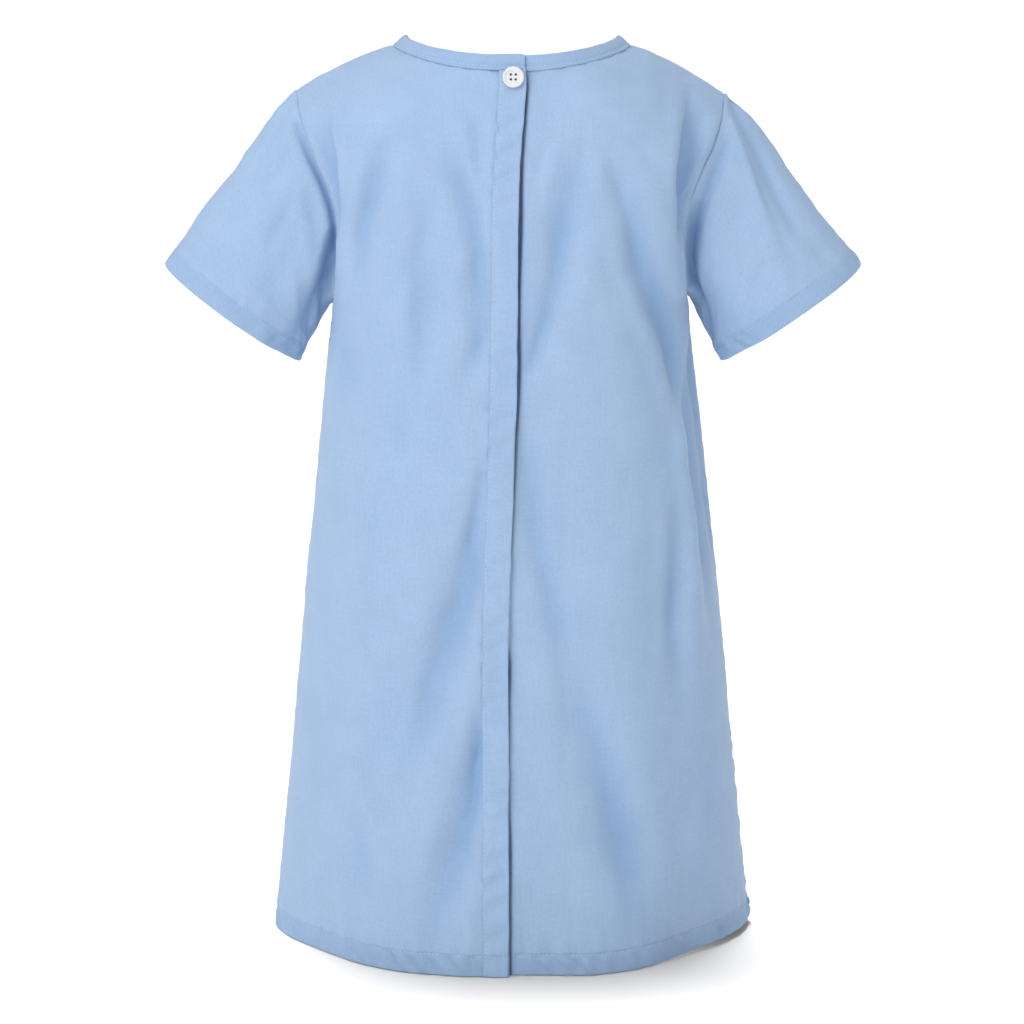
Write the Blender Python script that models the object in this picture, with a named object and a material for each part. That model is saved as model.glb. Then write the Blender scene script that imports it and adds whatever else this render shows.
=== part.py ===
"""Child's hospital gown with a back opening, in the hollow form that it has when it is worn.

The frame is in metres with +Z up. The origin is in the middle of the neck opening, level
with the neck ends of the shoulder seams. The back of the gown, with its opening, faces -Y,
the front faces +Y, and +X is the wearer's right. Each cut piece is a closed wall of cloth.

Heights are given as a drop below the origin. Widths and depths are measured from the middle
of the gown, and a depth counts towards the back on a back piece and towards the front on a
front piece. Pieces are worked out on the +X side and mirrored where the other side needs it.
"""

import math
from collections import namedtuple

import bmesh
import bpy
import numpy as np

MM = 0.001

# ---- driving dimensions --------------------------------------------------------------------
LENGTH = 580 * MM  # neck end of the shoulder seam to the hem
HEM_HALF_WIDTH = 157.4 * MM
UNDERARM_DROP = 163 * MM  # where the sleeve, front and back meet under the arm
UNDERARM_HALF_WIDTH = 112 * MM
NECK_HALF_WIDTH = 73.6 * MM
SHOULDER_DROP = 31 * MM  # sleeve end of the shoulder seam
SHOULDER_HALF_WIDTH = 134.3 * MM
CLOTH = 1.2 * MM  # wall of one layer of cloth
SEAM_GAP = 0.3 * MM  # between two pieces that meet
HEM_DEPTH = 14 * MM
HEM_TURNING = 1.0 * MM  # extra wall where the hem is turned up inside
HEM_STEP = 1.2 * MM  # height over which the turning ends

PLACKET_WIDTH = 16 * MM
PLACKET_CLOTH = 1.0 * MM
LAP = 2.6 * MM  # how far the left back lies outside the right back
LAP_FADE = (20 * MM, 52 * MM)  # from the middle: full lap up to the first, none past the second
PLACKET_CALM = 20 * MM  # no fold within this of the middle, where the placket holds it flat

BAND_HEIGHT = 8.8 * MM
BAND_CLOTH = 1.6 * MM
BAND_PROUD = 0.2 * MM  # band's face outside the cloth that it is sewn to
BAND_SEAM = 0.35 * MM  # seam gap under the band, measured along its slope
BAND_RELIEF = 0.4 * MM  # how much further its inner edge is from the seam

BUTTON_DIAMETER = 13 * MM
BUTTON_THICKNESS = 2.4 * MM
BUTTON_PLACE = (0.8 * MM, 15.0 * MM)  # across from the middle, and drop
BUTTON_HOLE = 1.4 * MM
BUTTON_HOLE_PITCH = 2.8 * MM
BUTTON_RIM = 1.5 * MM  # width of the raised rim
BUTTON_DISH = 0.5 * MM  # depth of the dished middle
BUTTON_EDGE = 0.5 * MM  # width of the slopes at its edge and inside its rim

CUFF_CENTRE = (178.2 * MM, 4 * MM, 170.2 * MM)  # across, forwards and drop
CUFF_SLOPE = math.radians(54.6)  # sleeve's line below the horizontal
CUFF_HALF_HEIGHT = 53.8 * MM
CUFF_HALF_DEPTH = 37 * MM
CUFF_HEM = 13 * MM
CUFF_FORWARDS = 0.05  # how much the sleeve turns forwards as it reaches the cuff
SHOULDER_LEAVING = (0.86, 0.0, -0.51)  # direction in which the sleeve leaves the shoulder
UNDERARM_LEAVING = (0.92, 0.0, -0.39)
SHOULDER_PULL, UNDERARM_PULL, CUFF_PULL = 0.6, 0.35, 0.85  # how long each direction is kept

# ---- mesh density --------------------------------------------------------------------------
BODY_ROWS = 20  # hem to underarm
YOKE_ROWS = 6  # underarm to the neckline
NECK_ROWS = 8  # along half the neckline
HALF_COLUMNS = 13
SLEEVE_RINGS = 9
HEM_ROWS = 3  # rows of points on a turned hem
FINE = 240  # points on a curve before it is divided evenly
FOLD_STEPS = 25  # points on the line of a fold
BUTTON_SIDES = 32
HOLE_SIDES = 12

# ---- shaping -------------------------------------------------------------------------------
YOKE_LEAN, SHOULDER_LEAN = 1.5, 1.35  # how late a row falls towards the armhole
FOLD_TAPER, FLUTE_TAPER = 0.7, 0.8  # below 1 a fold keeps its depth nearer to its ends
MITRE_LIMIT = 0.35  # a seam's wall and gap grow with its angle, but not past this
CORNER_CUTOFF = 0.2  # edges that are nearly in line count as one where a seam is trimmed
SAME_PLACE = 0.01 * MM  # points nearer than this are one point of a seam
SHARP_CLOTH, SHARP_BUTTON = math.radians(50), math.radians(35)

# ---- tables --------------------------------------------------------------------------------
# Rings of the body below the underarm: how wide it is at the side seams, how square its
# corners are (2 is an ellipse, and less draws them out to the seams), and how much further
# than at the neck its middle is flat.
Ring = namedtuple("Ring", "drop half_width squareness flat")
RINGS = (
    Ring(UNDERARM_DROP, UNDERARM_HALF_WIDTH, 2.3, 10 * MM),
    Ring(195 * MM, 115.9 * MM, 2.25, 12 * MM),
    Ring(234 * MM, 120.9 * MM, 2.15, 14 * MM),
    Ring(287 * MM, 127.0 * MM, 2.05, 17 * MM),
    Ring(340 * MM, 133.2 * MM, 2.0, 20 * MM),
    Ring(394 * MM, 138.5 * MM, 1.9, 23 * MM),
    Ring(448 * MM, 143.7 * MM, 1.8, 26 * MM),
    Ring(503 * MM, 149.6 * MM, 1.7, 29 * MM),
    Ring(LENGTH, HEM_HALF_WIDTH, 1.6, 33 * MM),
)

# How far the middle of the back and of the front stand from the side seams.
Depth = namedtuple("Depth", "drop depth")
BACK_MIDDLE = (
    Depth(9.8 * MM, 60 * MM),
    Depth(33 * MM, 65.5 * MM),
    Depth(62 * MM, 70.5 * MM),
    Depth(95 * MM, 73.5 * MM),
    Depth(UNDERARM_DROP, 76.5 * MM),
    Depth(287 * MM, 84 * MM),
    Depth(394 * MM, 92 * MM),
    Depth(503 * MM, 100 * MM),
    Depth(LENGTH, 106 * MM),
)
FRONT_MIDDLE = (
    Depth(50 * MM, 58 * MM),
    Depth(75 * MM, 66 * MM),
    Depth(110 * MM, 73 * MM),
    Depth(UNDERARM_DROP, 79 * MM),
    Depth(230 * MM, 84 * MM),
    Depth(300 * MM, 88 * MM),
    Depth(394 * MM, 93 * MM),
    Depth(LENGTH, 103 * MM),
)

# The armhole seam from the underarm (share 0) to the shoulder (share 1). Swell is how far
# the cloth stands out sideways just inside the seam, and squareness is that of its row.
Arm = namedtuple("Arm", "share x depth drop swell squareness")
BACK_ARMHOLE = (
    Arm(0.00, UNDERARM_HALF_WIDTH, 0.0 * MM, UNDERARM_DROP, 0.0 * MM, 2.3),
    Arm(0.10, 110.6 * MM, 12.5 * MM, 158.5 * MM, 0.8 * MM, 2.35),
    Arm(0.22, 108.9 * MM, 22.0 * MM, 144.5 * MM, 2.0 * MM, 2.4),
    Arm(0.36, 108.2 * MM, 27.5 * MM, 122.5 * MM, 2.6 * MM, 2.4),
    Arm(0.50, 110.6 * MM, 30.0 * MM, 100.5 * MM, 1.4 * MM, 2.35),
    Arm(0.64, 117.4 * MM, 29.5 * MM, 80.5 * MM, 0.4 * MM, 2.3),
    Arm(0.78, 126.0 * MM, 25.5 * MM, 61.5 * MM, 0.0 * MM, 2.2),
    Arm(0.90, 132.4 * MM, 16.5 * MM, 42.5 * MM, 0.0 * MM, 2.1),
    Arm(1.00, SHOULDER_HALF_WIDTH, 0.0 * MM, SHOULDER_DROP, 0.0 * MM, 2.0),
)
FRONT_ARMHOLE = (
    Arm(0.00, UNDERARM_HALF_WIDTH, 0.0 * MM, UNDERARM_DROP, 0.0 * MM, 2.3),
    Arm(0.10, 110.2 * MM, 12.0 * MM, 158.0 * MM, 0.6 * MM, 2.3),
    Arm(0.22, 107.2 * MM, 20.5 * MM, 143.5 * MM, 1.2 * MM, 2.3),
    Arm(0.36, 105.2 * MM, 25.0 * MM, 121.0 * MM, 1.4 * MM, 2.3),
    Arm(0.50, 106.8 * MM, 27.0 * MM, 98.5 * MM, 0.8 * MM, 2.25),
    Arm(0.64, 113.6 * MM, 26.5 * MM, 78.5 * MM, 0.2 * MM, 2.2),
    Arm(0.78, 123.6 * MM, 23.0 * MM, 60.0 * MM, 0.0 * MM, 2.15),
    Arm(0.90, 131.6 * MM, 15.0 * MM, 42.0 * MM, 0.0 * MM, 2.05),
    Arm(1.00, SHOULDER_HALF_WIDTH, 0.0 * MM, SHOULDER_DROP, 0.0 * MM, 2.0),
)
ARMHOLE_AT_NECK = 0.46  # share of the armhole that is level with the middle of the neckline

# The edge of the left back, which shows down the middle: it leans from right to left.
Edge = namedtuple("Edge", "drop x")
PLACKET_EDGE = (
    Edge(0 * MM, 7.4 * MM),
    Edge(16 * MM, 8.0 * MM),
    Edge(40 * MM, 6.6 * MM),
    Edge(65 * MM, 4.8 * MM),
    Edge(114 * MM, 3.5 * MM),
    Edge(189 * MM, 2.8 * MM),
    Edge(240 * MM, 1.6 * MM),
    Edge(290 * MM, -0.4 * MM),
    Edge(368 * MM, -2.6 * MM),
    Edge(470 * MM, -2.5 * MM),
    Edge(LENGTH, -2.3 * MM),
)

# Neckline of each panel: flat for the first stretch from the middle, then a quarter round.
Neckline = namedtuple("Neckline", "flat drop depth")
BACK_NECK = Neckline(10 * MM, 9.8 * MM, 60 * MM)
FRONT_NECK = Neckline(0 * MM, 50 * MM, 58 * MM)
NECKLINE_ROUND = 1.9  # above 1 the neckline comes up more softly from its middle

# Where the filled gown isn't the same on both sides: each row moves what lies within its
# reach of (x, drop) out and up, fading with distance.
Push = namedtuple("Push", "x drop reach out up")
PUSHES = (
    Push(-130 * MM, 36 * MM, 38 * MM, 2.0 * MM, 3.4 * MM),
    Push(-166 * MM, 72 * MM, 34 * MM, -1.6 * MM, -1.0 * MM),
    Push(132 * MM, 36 * MM, 36 * MM, 0.2 * MM, 0.8 * MM),
    Push(-116 * MM, 185 * MM, 70 * MM, 2.4 * MM, 0.0 * MM),
    Push(185 * MM, 95 * MM, 36 * MM, -2.4 * MM, -1.0 * MM),
    Push(215 * MM, 140 * MM, 30 * MM, 2.0 * MM, 0.0 * MM),
    Push(157 * MM, 585 * MM, 42 * MM, 0.6 * MM, 4.5 * MM),
)

# How the neck band slopes above the horizontal at the back, over the shoulder and in front.
BAND_SLOPE_BACK, BAND_SLOPE_SIDE, BAND_SLOPE_FRONT = (math.radians(a) for a in (74, 42, 58))

# The largest folds. Each is a soft trough, or a ridge where its depth is below zero. It runs
# from (x, drop) through (mid_x, mid_drop) to (end_x, end_drop), and width is its half width.
Fold = namedtuple("Fold", "x drop mid_x mid_drop end_x end_drop width depth")
BACK_FOLDS = (
    # beside the armholes, where the back turns towards the sleeves
    Fold(119 * MM, 38 * MM, 117 * MM, 70 * MM, 112 * MM, 112 * MM, 10 * MM, 5.0 * MM),
    Fold(-120 * MM, 36 * MM, -118 * MM, 70 * MM, -112 * MM, 112 * MM, 10 * MM, 4.0 * MM),
    # from the shoulder blades down under the arms
    Fold(64 * MM, 66 * MM, 78 * MM, 160 * MM, 112 * MM, 250 * MM, 11 * MM, 3.0 * MM),
    Fold(-80 * MM, 66 * MM, -94 * MM, 130 * MM, -98 * MM, 260 * MM, 12 * MM, 2.0 * MM),
    Fold(-44 * MM, 70 * MM, -50 * MM, 120 * MM, -55 * MM, 190 * MM, 14 * MM, 2.5 * MM),
    # down and outwards from the placket
    Fold(-22 * MM, 300 * MM, -48 * MM, 385 * MM, -94 * MM, 515 * MM, 20 * MM, 4.5 * MM),
    Fold(-26 * MM, 425 * MM, -42 * MM, 490 * MM, -60 * MM, 560 * MM, 14 * MM, 3.0 * MM),
    Fold(20 * MM, 225 * MM, 34 * MM, 330 * MM, 78 * MM, 520 * MM, 18 * MM, 4.0 * MM),
    Fold(24 * MM, 385 * MM, 44 * MM, 470 * MM, 58 * MM, 575 * MM, 16 * MM, 2.8 * MM),
    # long flutes of the skirt
    Fold(92 * MM, 300 * MM, 104 * MM, 440 * MM, 118 * MM, 600 * MM, 20 * MM, 4.5 * MM),
    Fold(-110 * MM, 330 * MM, -120 * MM, 460 * MM, -128 * MM, 600 * MM, 18 * MM, 3.0 * MM),
)
FRONT_FOLDS = (
    Fold(-52 * MM, 70 * MM, -62 * MM, 150 * MM, -100 * MM, 215 * MM, 14 * MM, 3.5 * MM),
    Fold(54 * MM, 66 * MM, 66 * MM, 140 * MM, 102 * MM, 205 * MM, 14 * MM, 3.8 * MM),
    Fold(-24 * MM, 190 * MM, -34 * MM, 370 * MM, -48 * MM, 600 * MM, 22 * MM, 4.0 * MM),
    Fold(30 * MM, 230 * MM, 38 * MM, 400 * MM, 40 * MM, 600 * MM, 20 * MM, 4.2 * MM),
    Fold(-84 * MM, 260 * MM, -98 * MM, 430 * MM, -106 * MM, 600 * MM, 20 * MM, 4.4 * MM),
    Fold(88 * MM, 280 * MM, 96 * MM, 440 * MM, 106 * MM, 600 * MM, 20 * MM, 4.0 * MM),
    Fold(2 * MM, 330 * MM, 0 * MM, 460 * MM, -4 * MM, 600 * MM, 16 * MM, -2.2 * MM),
)
FOLD_FADE = 16 * MM  # folds die out this far from a side seam, armhole or shoulder seam

# Folds of the sleeves. Around is the share of the way round from the underarm over the back,
# the shoulder and the front. It goes from start to end while along goes from the armhole (0)
# to the cuff (1).
Flute = namedtuple("Flute", "start_around end_around start_along end_along width depth")
RIGHT_FLUTES = (
    Flute(0.33, 0.24, 0.10, 0.80, 0.050, 3.0 * MM),
    Flute(0.46, 0.37, 0.02, 0.95, 0.045, 2.6 * MM),
    Flute(0.08, 0.12, 0.10, 1.00, 0.045, 2.5 * MM),
    Flute(0.62, 0.68, 0.08, 0.90, 0.050, 2.8 * MM),
    Flute(0.84, 0.80, 0.10, 1.00, 0.050, 2.4 * MM),
)
LEFT_FLUTES = (
    Flute(0.30, 0.20, 0.08, 0.75, 0.050, 2.6 * MM),
    Flute(0.42, 0.36, 0.05, 0.90, 0.050, 1.8 * MM),
    Flute(0.07, 0.10, 0.10, 1.00, 0.045, 2.5 * MM),
    Flute(0.64, 0.70, 0.08, 0.90, 0.050, 2.6 * MM),
    Flute(0.83, 0.78, 0.10, 1.00, 0.050, 2.6 * MM),
)

# ---- finishes: colour, roughness -----------------------------------------------------------
BLUE_CLOTH = ("blue_cloth", (0.40, 0.55, 0.78, 1.0), 0.85)
WHITE_BUTTON = ("white_button", (0.90, 0.90, 0.89, 1.0), 0.35)


# ---- reading tables and dividing curves ----------------------------------------------------
def read(table, key, column, at):
    """Reads a column on the smooth curve through a table's rows, at one or many keys."""
    keys = np.array([getattr(row, key) for row in table])
    values = np.array([getattr(row, column) for row in table])
    slopes = np.gradient(values, keys)
    at = np.clip(at, keys[0], keys[-1])
    low = np.clip(np.searchsorted(keys, at, side="right") - 1, 0, len(keys) - 2)
    span = keys[low + 1] - keys[low]
    t = (at - keys[low]) / span
    start = (1 + 2 * t) * (1 - t) ** 2 * values[low] + t * (1 - t) ** 2 * span * slopes[low]
    end = t * t * (3 - 2 * t) * values[low + 1] - t * t * (1 - t) * span * slopes[low + 1]
    return start + end


def divide(points, count):
    """Divides a fine line of points into `count` equal lengths, as count + 1 points."""
    lengths = np.linalg.norm(np.diff(points, axis=0), axis=1)
    travelled = np.concatenate([[0.0], np.cumsum(lengths)])
    wanted = np.linspace(0.0, travelled[-1], count + 1)
    return np.stack([np.interp(wanted, travelled, points[:, axis]) for axis in range(3)], axis=1)


def smooth(t):
    """Goes softly from 0 to 1 as t does."""
    t = np.clip(t, 0.0, 1.0)
    return t * t * (3 - 2 * t)


# ---- the body's rows -----------------------------------------------------------------------
# A half of the back or front. `middle` and `armhole` are its tables, `neck` its neckline,
# `edge` gives where it ends near the middle for a drop, and `lap` is how far out it lies there.
Half = namedtuple("Half", "middle armhole neck edge lap")


def neckline_points(half):
    """The half's neckline from its inner end to the shoulder, as a fine line of x, depth, drop."""
    neck = half.neck
    turn = np.linspace(0.0, math.pi / 2, FINE)
    x = neck.flat + (NECK_HALF_WIDTH - neck.flat) * np.sin(turn)
    rise = np.maximum(np.cos(turn), 0.0)
    curved = np.stack([x, neck.depth * rise, neck.drop * rise**NECKLINE_ROUND], axis=1)
    start = half.edge(neck.drop)
    flat_x = np.linspace(start, neck.flat, FINE // 4, endpoint=False)
    flat = np.stack(
        [flat_x, np.full_like(flat_x, neck.depth), np.full_like(flat_x, neck.drop)], axis=1
    )
    return np.concatenate([flat, curved]) if start < neck.flat else curved


def row_points(half, arm, end, flat, to_shoulder, lean, columns):
    """One row of a half, from its inner end (x, depth, drop) out to `arm` on the side.

    The row is flat out to `flat`. to_shoulder is 0 below the neckline and reaches 1 at the
    shoulder seam, and lean says how late the row falls from the neck's height to the arm's.
    """
    end_x, end_depth, end_drop = end
    flat_x = max(flat, end_x)
    turn = np.linspace(0.0, math.pi / 2, FINE)
    out = np.maximum(np.cos(turn), 0.0) ** (2 / arm.squareness)
    back = np.maximum(np.sin(turn), 0.0) ** (2 / arm.squareness)
    swell = arm.swell * np.sin(math.pi * np.sqrt(turn / (math.pi / 2)))
    x = flat_x + (arm.x - flat_x) * out + swell
    if end_x < flat_x:
        more = np.linspace(flat_x, end_x, FINE // 4)[1:]
        x = np.concatenate([x, more])
        back = np.concatenate([back, np.ones_like(more)])
    fall = np.clip((x - end_x) / (arm.x - end_x), 0.0, 1.0) ** lean
    drop = end_drop + (arm.drop - end_drop) * fall
    deeper = read(half.middle, "drop", "depth", drop) - read(half.middle, "drop", "depth", end_drop)
    full = end_depth + deeper * (1 - to_shoulder)
    depth = arm.depth + (full - arm.depth) * back
    depth = depth + half.lap * (1 - smooth((x - LAP_FADE[0]) / (LAP_FADE[1] - LAP_FADE[0])))
    return divide(np.stack([x, depth, drop], axis=1)[::-1], columns)


def body_drops():
    """The drops of the rows from the hem to the underarm, with a close pair over the hem."""
    top_of_hem = LENGTH - HEM_DEPTH
    rest = np.linspace(top_of_hem - HEM_STEP, UNDERARM_DROP, BODY_ROWS + 1)
    return np.concatenate([[LENGTH, LENGTH - HEM_DEPTH / 2, top_of_hem], rest])


def half_rows(half, columns):
    """All rows of a half from the hem to the shoulder seam, as an array of x, depth, drop."""
    rows = []
    for drop in body_drops():
        width = read(RINGS, "drop", "half_width", drop)
        square = read(RINGS, "drop", "squareness", drop)
        middle = read(half.middle, "drop", "depth", drop)
        flat = half.neck.flat + read(RINGS, "drop", "flat", drop)
        side = Arm(0.0, width, 0.0, drop, 0.0, square)
        end = (half.edge(drop), middle, drop)
        rows.append(row_points(half, side, end, flat, 0.0, 1.0, columns))
    neckline = divide(neckline_points(half), NECK_ROWS)
    for step in range(1, YOKE_ROWS + NECK_ROWS + 1):
        if step <= YOKE_ROWS:
            up = step / YOKE_ROWS
            share = ARMHOLE_AT_NECK * up
            drop = UNDERARM_DROP + (half.neck.drop - UNDERARM_DROP) * up
            end = (half.edge(drop), read(half.middle, "drop", "depth", drop), drop)
            flat = half.neck.flat + RINGS[0].flat * (1 - up)
            to_shoulder = 0.0
        else:
            to_shoulder = (step - YOKE_ROWS) / NECK_ROWS
            share = ARMHOLE_AT_NECK + (1 - ARMHOLE_AT_NECK) * to_shoulder
            end = neckline[step - YOKE_ROWS]
            flat = half.neck.flat
        arm = Arm(share, *(read(half.armhole, "share", name, share) for name in Arm._fields[1:]))
        lean = YOKE_LEAN + (SHOULDER_LEAN - YOKE_LEAN) * to_shoulder
        rows.append(row_points(half, arm, end, flat, to_shoulder**2, lean, columns))
    return np.array(rows)


# ---- surfaces ------------------------------------------------------------------------------
class Surface:
    """The outer face of one piece of cloth: its points and quads, and which points are on its
    turned hem and on its neckline."""

    def __init__(self, points, quads, hem=(), neckline=()):
        self.points = np.array(points, float)
        self.quads = quads
        self.neckline = list(neckline)
        self.thickness = np.full(len(self.points), CLOTH)
        self.thickness[list(hem)] += HEM_TURNING

    def normals(self):
        """Unit normals of the points, each from the quads around it."""
        total = np.zeros_like(self.points)
        corners = self.points[np.array(self.quads)]
        across = np.cross(corners[:, 2] - corners[:, 0], corners[:, 3] - corners[:, 1])
        for corner in range(4):
            np.add.at(total, np.array(self.quads)[:, corner], across)
        return total / np.linalg.norm(total, axis=1, keepdims=True)

    def rim(self):
        """The edges that only one quad uses, each with that quad's middle."""
        seen = {}
        for quad in self.quads:
            for a, b in zip(quad, quad[1:] + quad[:1]):
                seen.setdefault(frozenset((a, b)), []).append((a, b, quad))
        return [found[0] for found in seen.values() if len(found) == 1]


def grid_quads(rows, columns, index):
    """Quads of a grid whose point numbers are index(row, column)."""
    return [
        (index(r, c), index(r, c + 1), index(r + 1, c + 1), index(r + 1, c))
        for r in range(rows)
        for c in range(columns)
    ]


def turned(quads):
    """The same quads facing the other way."""
    return [tuple(reversed(quad)) for quad in quads]


def to_frame(rows, mirror, facing):
    """Turns x, depth, drop into frame coordinates. facing is -1 for the back, 1 for the front."""
    return np.stack([rows[..., 0] * mirror, rows[..., 1] * facing, -rows[..., 2]], axis=-1)


def pushed(points):
    """Moves points as PUSHES says. Points that coincide move together."""
    moved = points.copy()
    for push in PUSHES:
        apart = np.hypot(points[..., 0] - push.x, points[..., 2] + push.drop)
        share = np.exp(-((apart / push.reach) ** 2))
        moved[..., 0] += share * push.out * np.sign(push.x)
        moved[..., 2] += share * push.up
    return moved


def hem_points(index):
    """The numbers of a half's points on its turned hem, which is its first HEM_ROWS rows."""
    return [index(row, column) for row in range(HEM_ROWS) for column in range(HALF_COLUMNS + 1)]


def fold_depth(folds, x, drop):
    """How deep the folds press the cloth in at each x and drop."""
    total = np.zeros_like(x)
    steps = np.linspace(0.0, 1.0, FOLD_STEPS)
    for fold in folds:
        bend_x = 2 * fold.mid_x - (fold.x + fold.end_x) / 2
        bend_drop = 2 * fold.mid_drop - (fold.drop + fold.end_drop) / 2
        line_x = (1 - steps) ** 2 * fold.x + 2 * steps * (1 - steps) * bend_x + steps**2 * fold.end_x
        line_drop = (
            (1 - steps) ** 2 * fold.drop
            + 2 * steps * (1 - steps) * bend_drop
            + steps**2 * fold.end_drop
        )
        apart = np.hypot(x[:, None] - line_x, drop[:, None] - line_drop)
        nearest = apart.argmin(axis=1)
        runs_off = fold.end_drop > LENGTH
        along = steps[nearest]
        taper = np.sin(math.pi * np.clip(along * (0.5 if runs_off else 1.0), 0, 1)) ** FOLD_TAPER
        total += fold.depth * taper * np.exp(-((apart.min(axis=1) / fold.width) ** 2))
    return total


def press_folds(surface, folds, calm):
    """Presses folds into the surface along its normals, less where calm is near 1."""
    x, drop = surface.points[:, 0], -surface.points[:, 2]
    depth = fold_depth(folds, x, drop) * (1 - calm)
    surface.points -= surface.normals() * depth[:, None]


def calm_near_edges(rows):
    """1 on the outer and top edges of a half and on its placket, and 0 away from them."""
    from_side = np.linalg.norm(rows - rows[:, -1:], axis=2)
    from_top = np.linalg.norm(rows - rows[-1:], axis=2)
    near_seam = 1 - smooth(np.minimum(from_side, from_top) / FOLD_FADE)
    from_neck = np.abs(rows[..., 2] - rows[-NECK_ROWS - 1, 0, 2])
    near_neck = (1 - smooth(from_neck / FOLD_FADE)) * (rows[..., 0] < NECK_HALF_WIDTH)
    return np.maximum(near_seam, near_neck)


def back_surface(mirror, edge, lap):
    """The left (mirror -1) or right (mirror 1) back, ending at edge(drop) near the middle."""
    half = Half(BACK_MIDDLE, BACK_ARMHOLE, BACK_NECK, edge, lap)
    rows = half_rows(half, HALF_COLUMNS)
    count = len(rows)

    def index(row, column):
        return row * (HALF_COLUMNS + 1) + column

    quads = grid_quads(count - 1, HALF_COLUMNS, index)
    surface = Surface(
        pushed(to_frame(rows, mirror, -1)).reshape(-1, 3),
        quads if mirror > 0 else turned(quads),
        hem=hem_points(index),
        neckline=[index(row, 0) for row in range(count - NECK_ROWS - 1, count)],
    )
    placket = 1 - smooth((rows[..., 0] - PLACKET_CALM) / FOLD_FADE)
    calm = np.maximum(calm_near_edges(rows), placket)
    press_folds(surface, BACK_FOLDS, calm.ravel())
    return surface


def front_surface():
    """The whole front: two mirrored halves that share their middle below the neckline."""
    half = Half(FRONT_MIDDLE, FRONT_ARMHOLE, FRONT_NECK, lambda drop: 0.0, 0.0)
    rows = half_rows(half, HALF_COLUMNS)
    count, width = len(rows), HALF_COLUMNS + 1
    split_row = count - NECK_ROWS  # rows from here on have a neckline between the halves

    def right(row, column):
        return row * width + column

    def left(row, column):
        return right(row, 0) if column == 0 and row < split_row else count * width + right(row, column)

    both = np.concatenate([to_frame(rows, 1, 1), to_frame(rows, -1, 1)])
    points = pushed(both).reshape(-1, 3)
    quads = turned(grid_quads(count - 1, HALF_COLUMNS, right))
    quads += grid_quads(count - 1, HALF_COLUMNS, left)
    hem = set(hem_points(right) + hem_points(left))
    neckline = [left(row, 0) for row in range(count - 1, split_row - 1, -1)]
    neckline += [right(row, 0) for row in range(split_row - 1, count)]
    used = sorted({number for quad in quads for number in quad})
    place = {number: new for new, number in enumerate(used)}
    surface = Surface(
        points[used],
        [tuple(place[number] for number in quad) for quad in quads],
        hem=[place[number] for number in hem],
        neckline=[place[number] for number in neckline],
    )
    calm = np.concatenate([calm_near_edges(rows)] * 2).ravel()[used]
    press_folds(surface, FRONT_FOLDS, calm)
    return surface


def armhole_loop(mirror):
    """The armhole from the underarm up the back to the shoulder and down the front again."""

    def side(table, facing):
        shares = [ARMHOLE_AT_NECK * step / YOKE_ROWS for step in range(YOKE_ROWS)]
        shares += [
            ARMHOLE_AT_NECK + (1 - ARMHOLE_AT_NECK) * step / NECK_ROWS
            for step in range(NECK_ROWS + 1)
        ]
        columns = [read(table, "share", name, np.array(shares)) for name in ("x", "depth", "drop")]
        return to_frame(np.stack(columns, axis=1), mirror, facing)

    back, front = side(BACK_ARMHOLE, -1), side(FRONT_ARMHOLE, 1)
    return np.concatenate([back, front[-2:0:-1]])


def cuff_ring(mirror, shares):
    """The sleeve's end at each share of the way round, from its lowest point over the back."""
    x, forwards, drop = CUFF_CENTRE
    along_x, along_z = math.cos(CUFF_SLOPE), -math.sin(CUFF_SLOPE)
    turn = 2 * math.pi * shares
    up, aft = -np.cos(turn) * CUFF_HALF_HEIGHT, np.sin(turn) * CUFF_HALF_DEPTH
    ring = np.stack([x - along_z * up, forwards - aft, -drop + along_x * up], axis=1)
    ring[:, 0] *= mirror
    return ring


def sleeve_surface(mirror, flutes):
    """A sleeve: a tube from the armhole to the cuff, bent softly where it leaves the shoulder."""
    start = armhole_loop(mirror)
    closed = np.concatenate([start, start[:1]])
    travelled = np.cumsum(np.linalg.norm(np.diff(closed, axis=0), axis=1))
    shares = np.concatenate([[0.0], travelled[:-1] / travelled[-1]])
    end = cuff_ring(mirror, shares)
    top = (0.5 - 0.5 * np.cos(2 * math.pi * shares))[:, None]
    leaving = top * np.array(SHOULDER_LEAVING) + (1 - top) * np.array(UNDERARM_LEAVING)
    down_sleeve = (math.cos(CUFF_SLOPE), CUFF_FORWARDS, -math.sin(CUFF_SLOPE))
    arriving = np.tile(down_sleeve, (len(shares), 1))
    leaving[:, 0] *= mirror
    arriving[:, 0] *= mirror
    length = np.linalg.norm(end - start, axis=1, keepdims=True)
    leaving *= length * (top * SHOULDER_PULL + (1 - top) * UNDERARM_PULL)
    arriving *= length * CUFF_PULL
    middle_length = length.mean()
    hem = CUFF_HEM / middle_length
    step = HEM_STEP / middle_length
    body = np.linspace(0.0, 1 - hem - step, SLEEVE_RINGS)
    stations = np.concatenate([body, [1 - hem, 1 - hem / 2, 1.0]])
    rings = []
    for s in stations:
        ring = (1 + 2 * s) * (1 - s) ** 2 * start + s * (1 - s) ** 2 * leaving
        ring += s * s * (3 - 2 * s) * end - s * s * (1 - s) * arriving
        rings.append(ring)
    rings = np.array(rings)
    around = len(shares)

    def index(row, column):
        return row * around + column % around

    quads = grid_quads(len(stations) - 1, around, index)
    surface = Surface(
        pushed(rings).reshape(-1, 3),
        quads if mirror < 0 else turned(quads),
        hem=[index(len(stations) - 1 - row, c) for row in range(HEM_ROWS) for c in range(around)],
    )
    depth = flute_depth(flutes, stations, shares)
    calm = 1 - smooth(np.tile(stations[:, None], (1, around)) * middle_length / FOLD_FADE)
    surface.points -= surface.normals() * (depth * (1 - calm)).reshape(-1, 1)
    return surface


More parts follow.
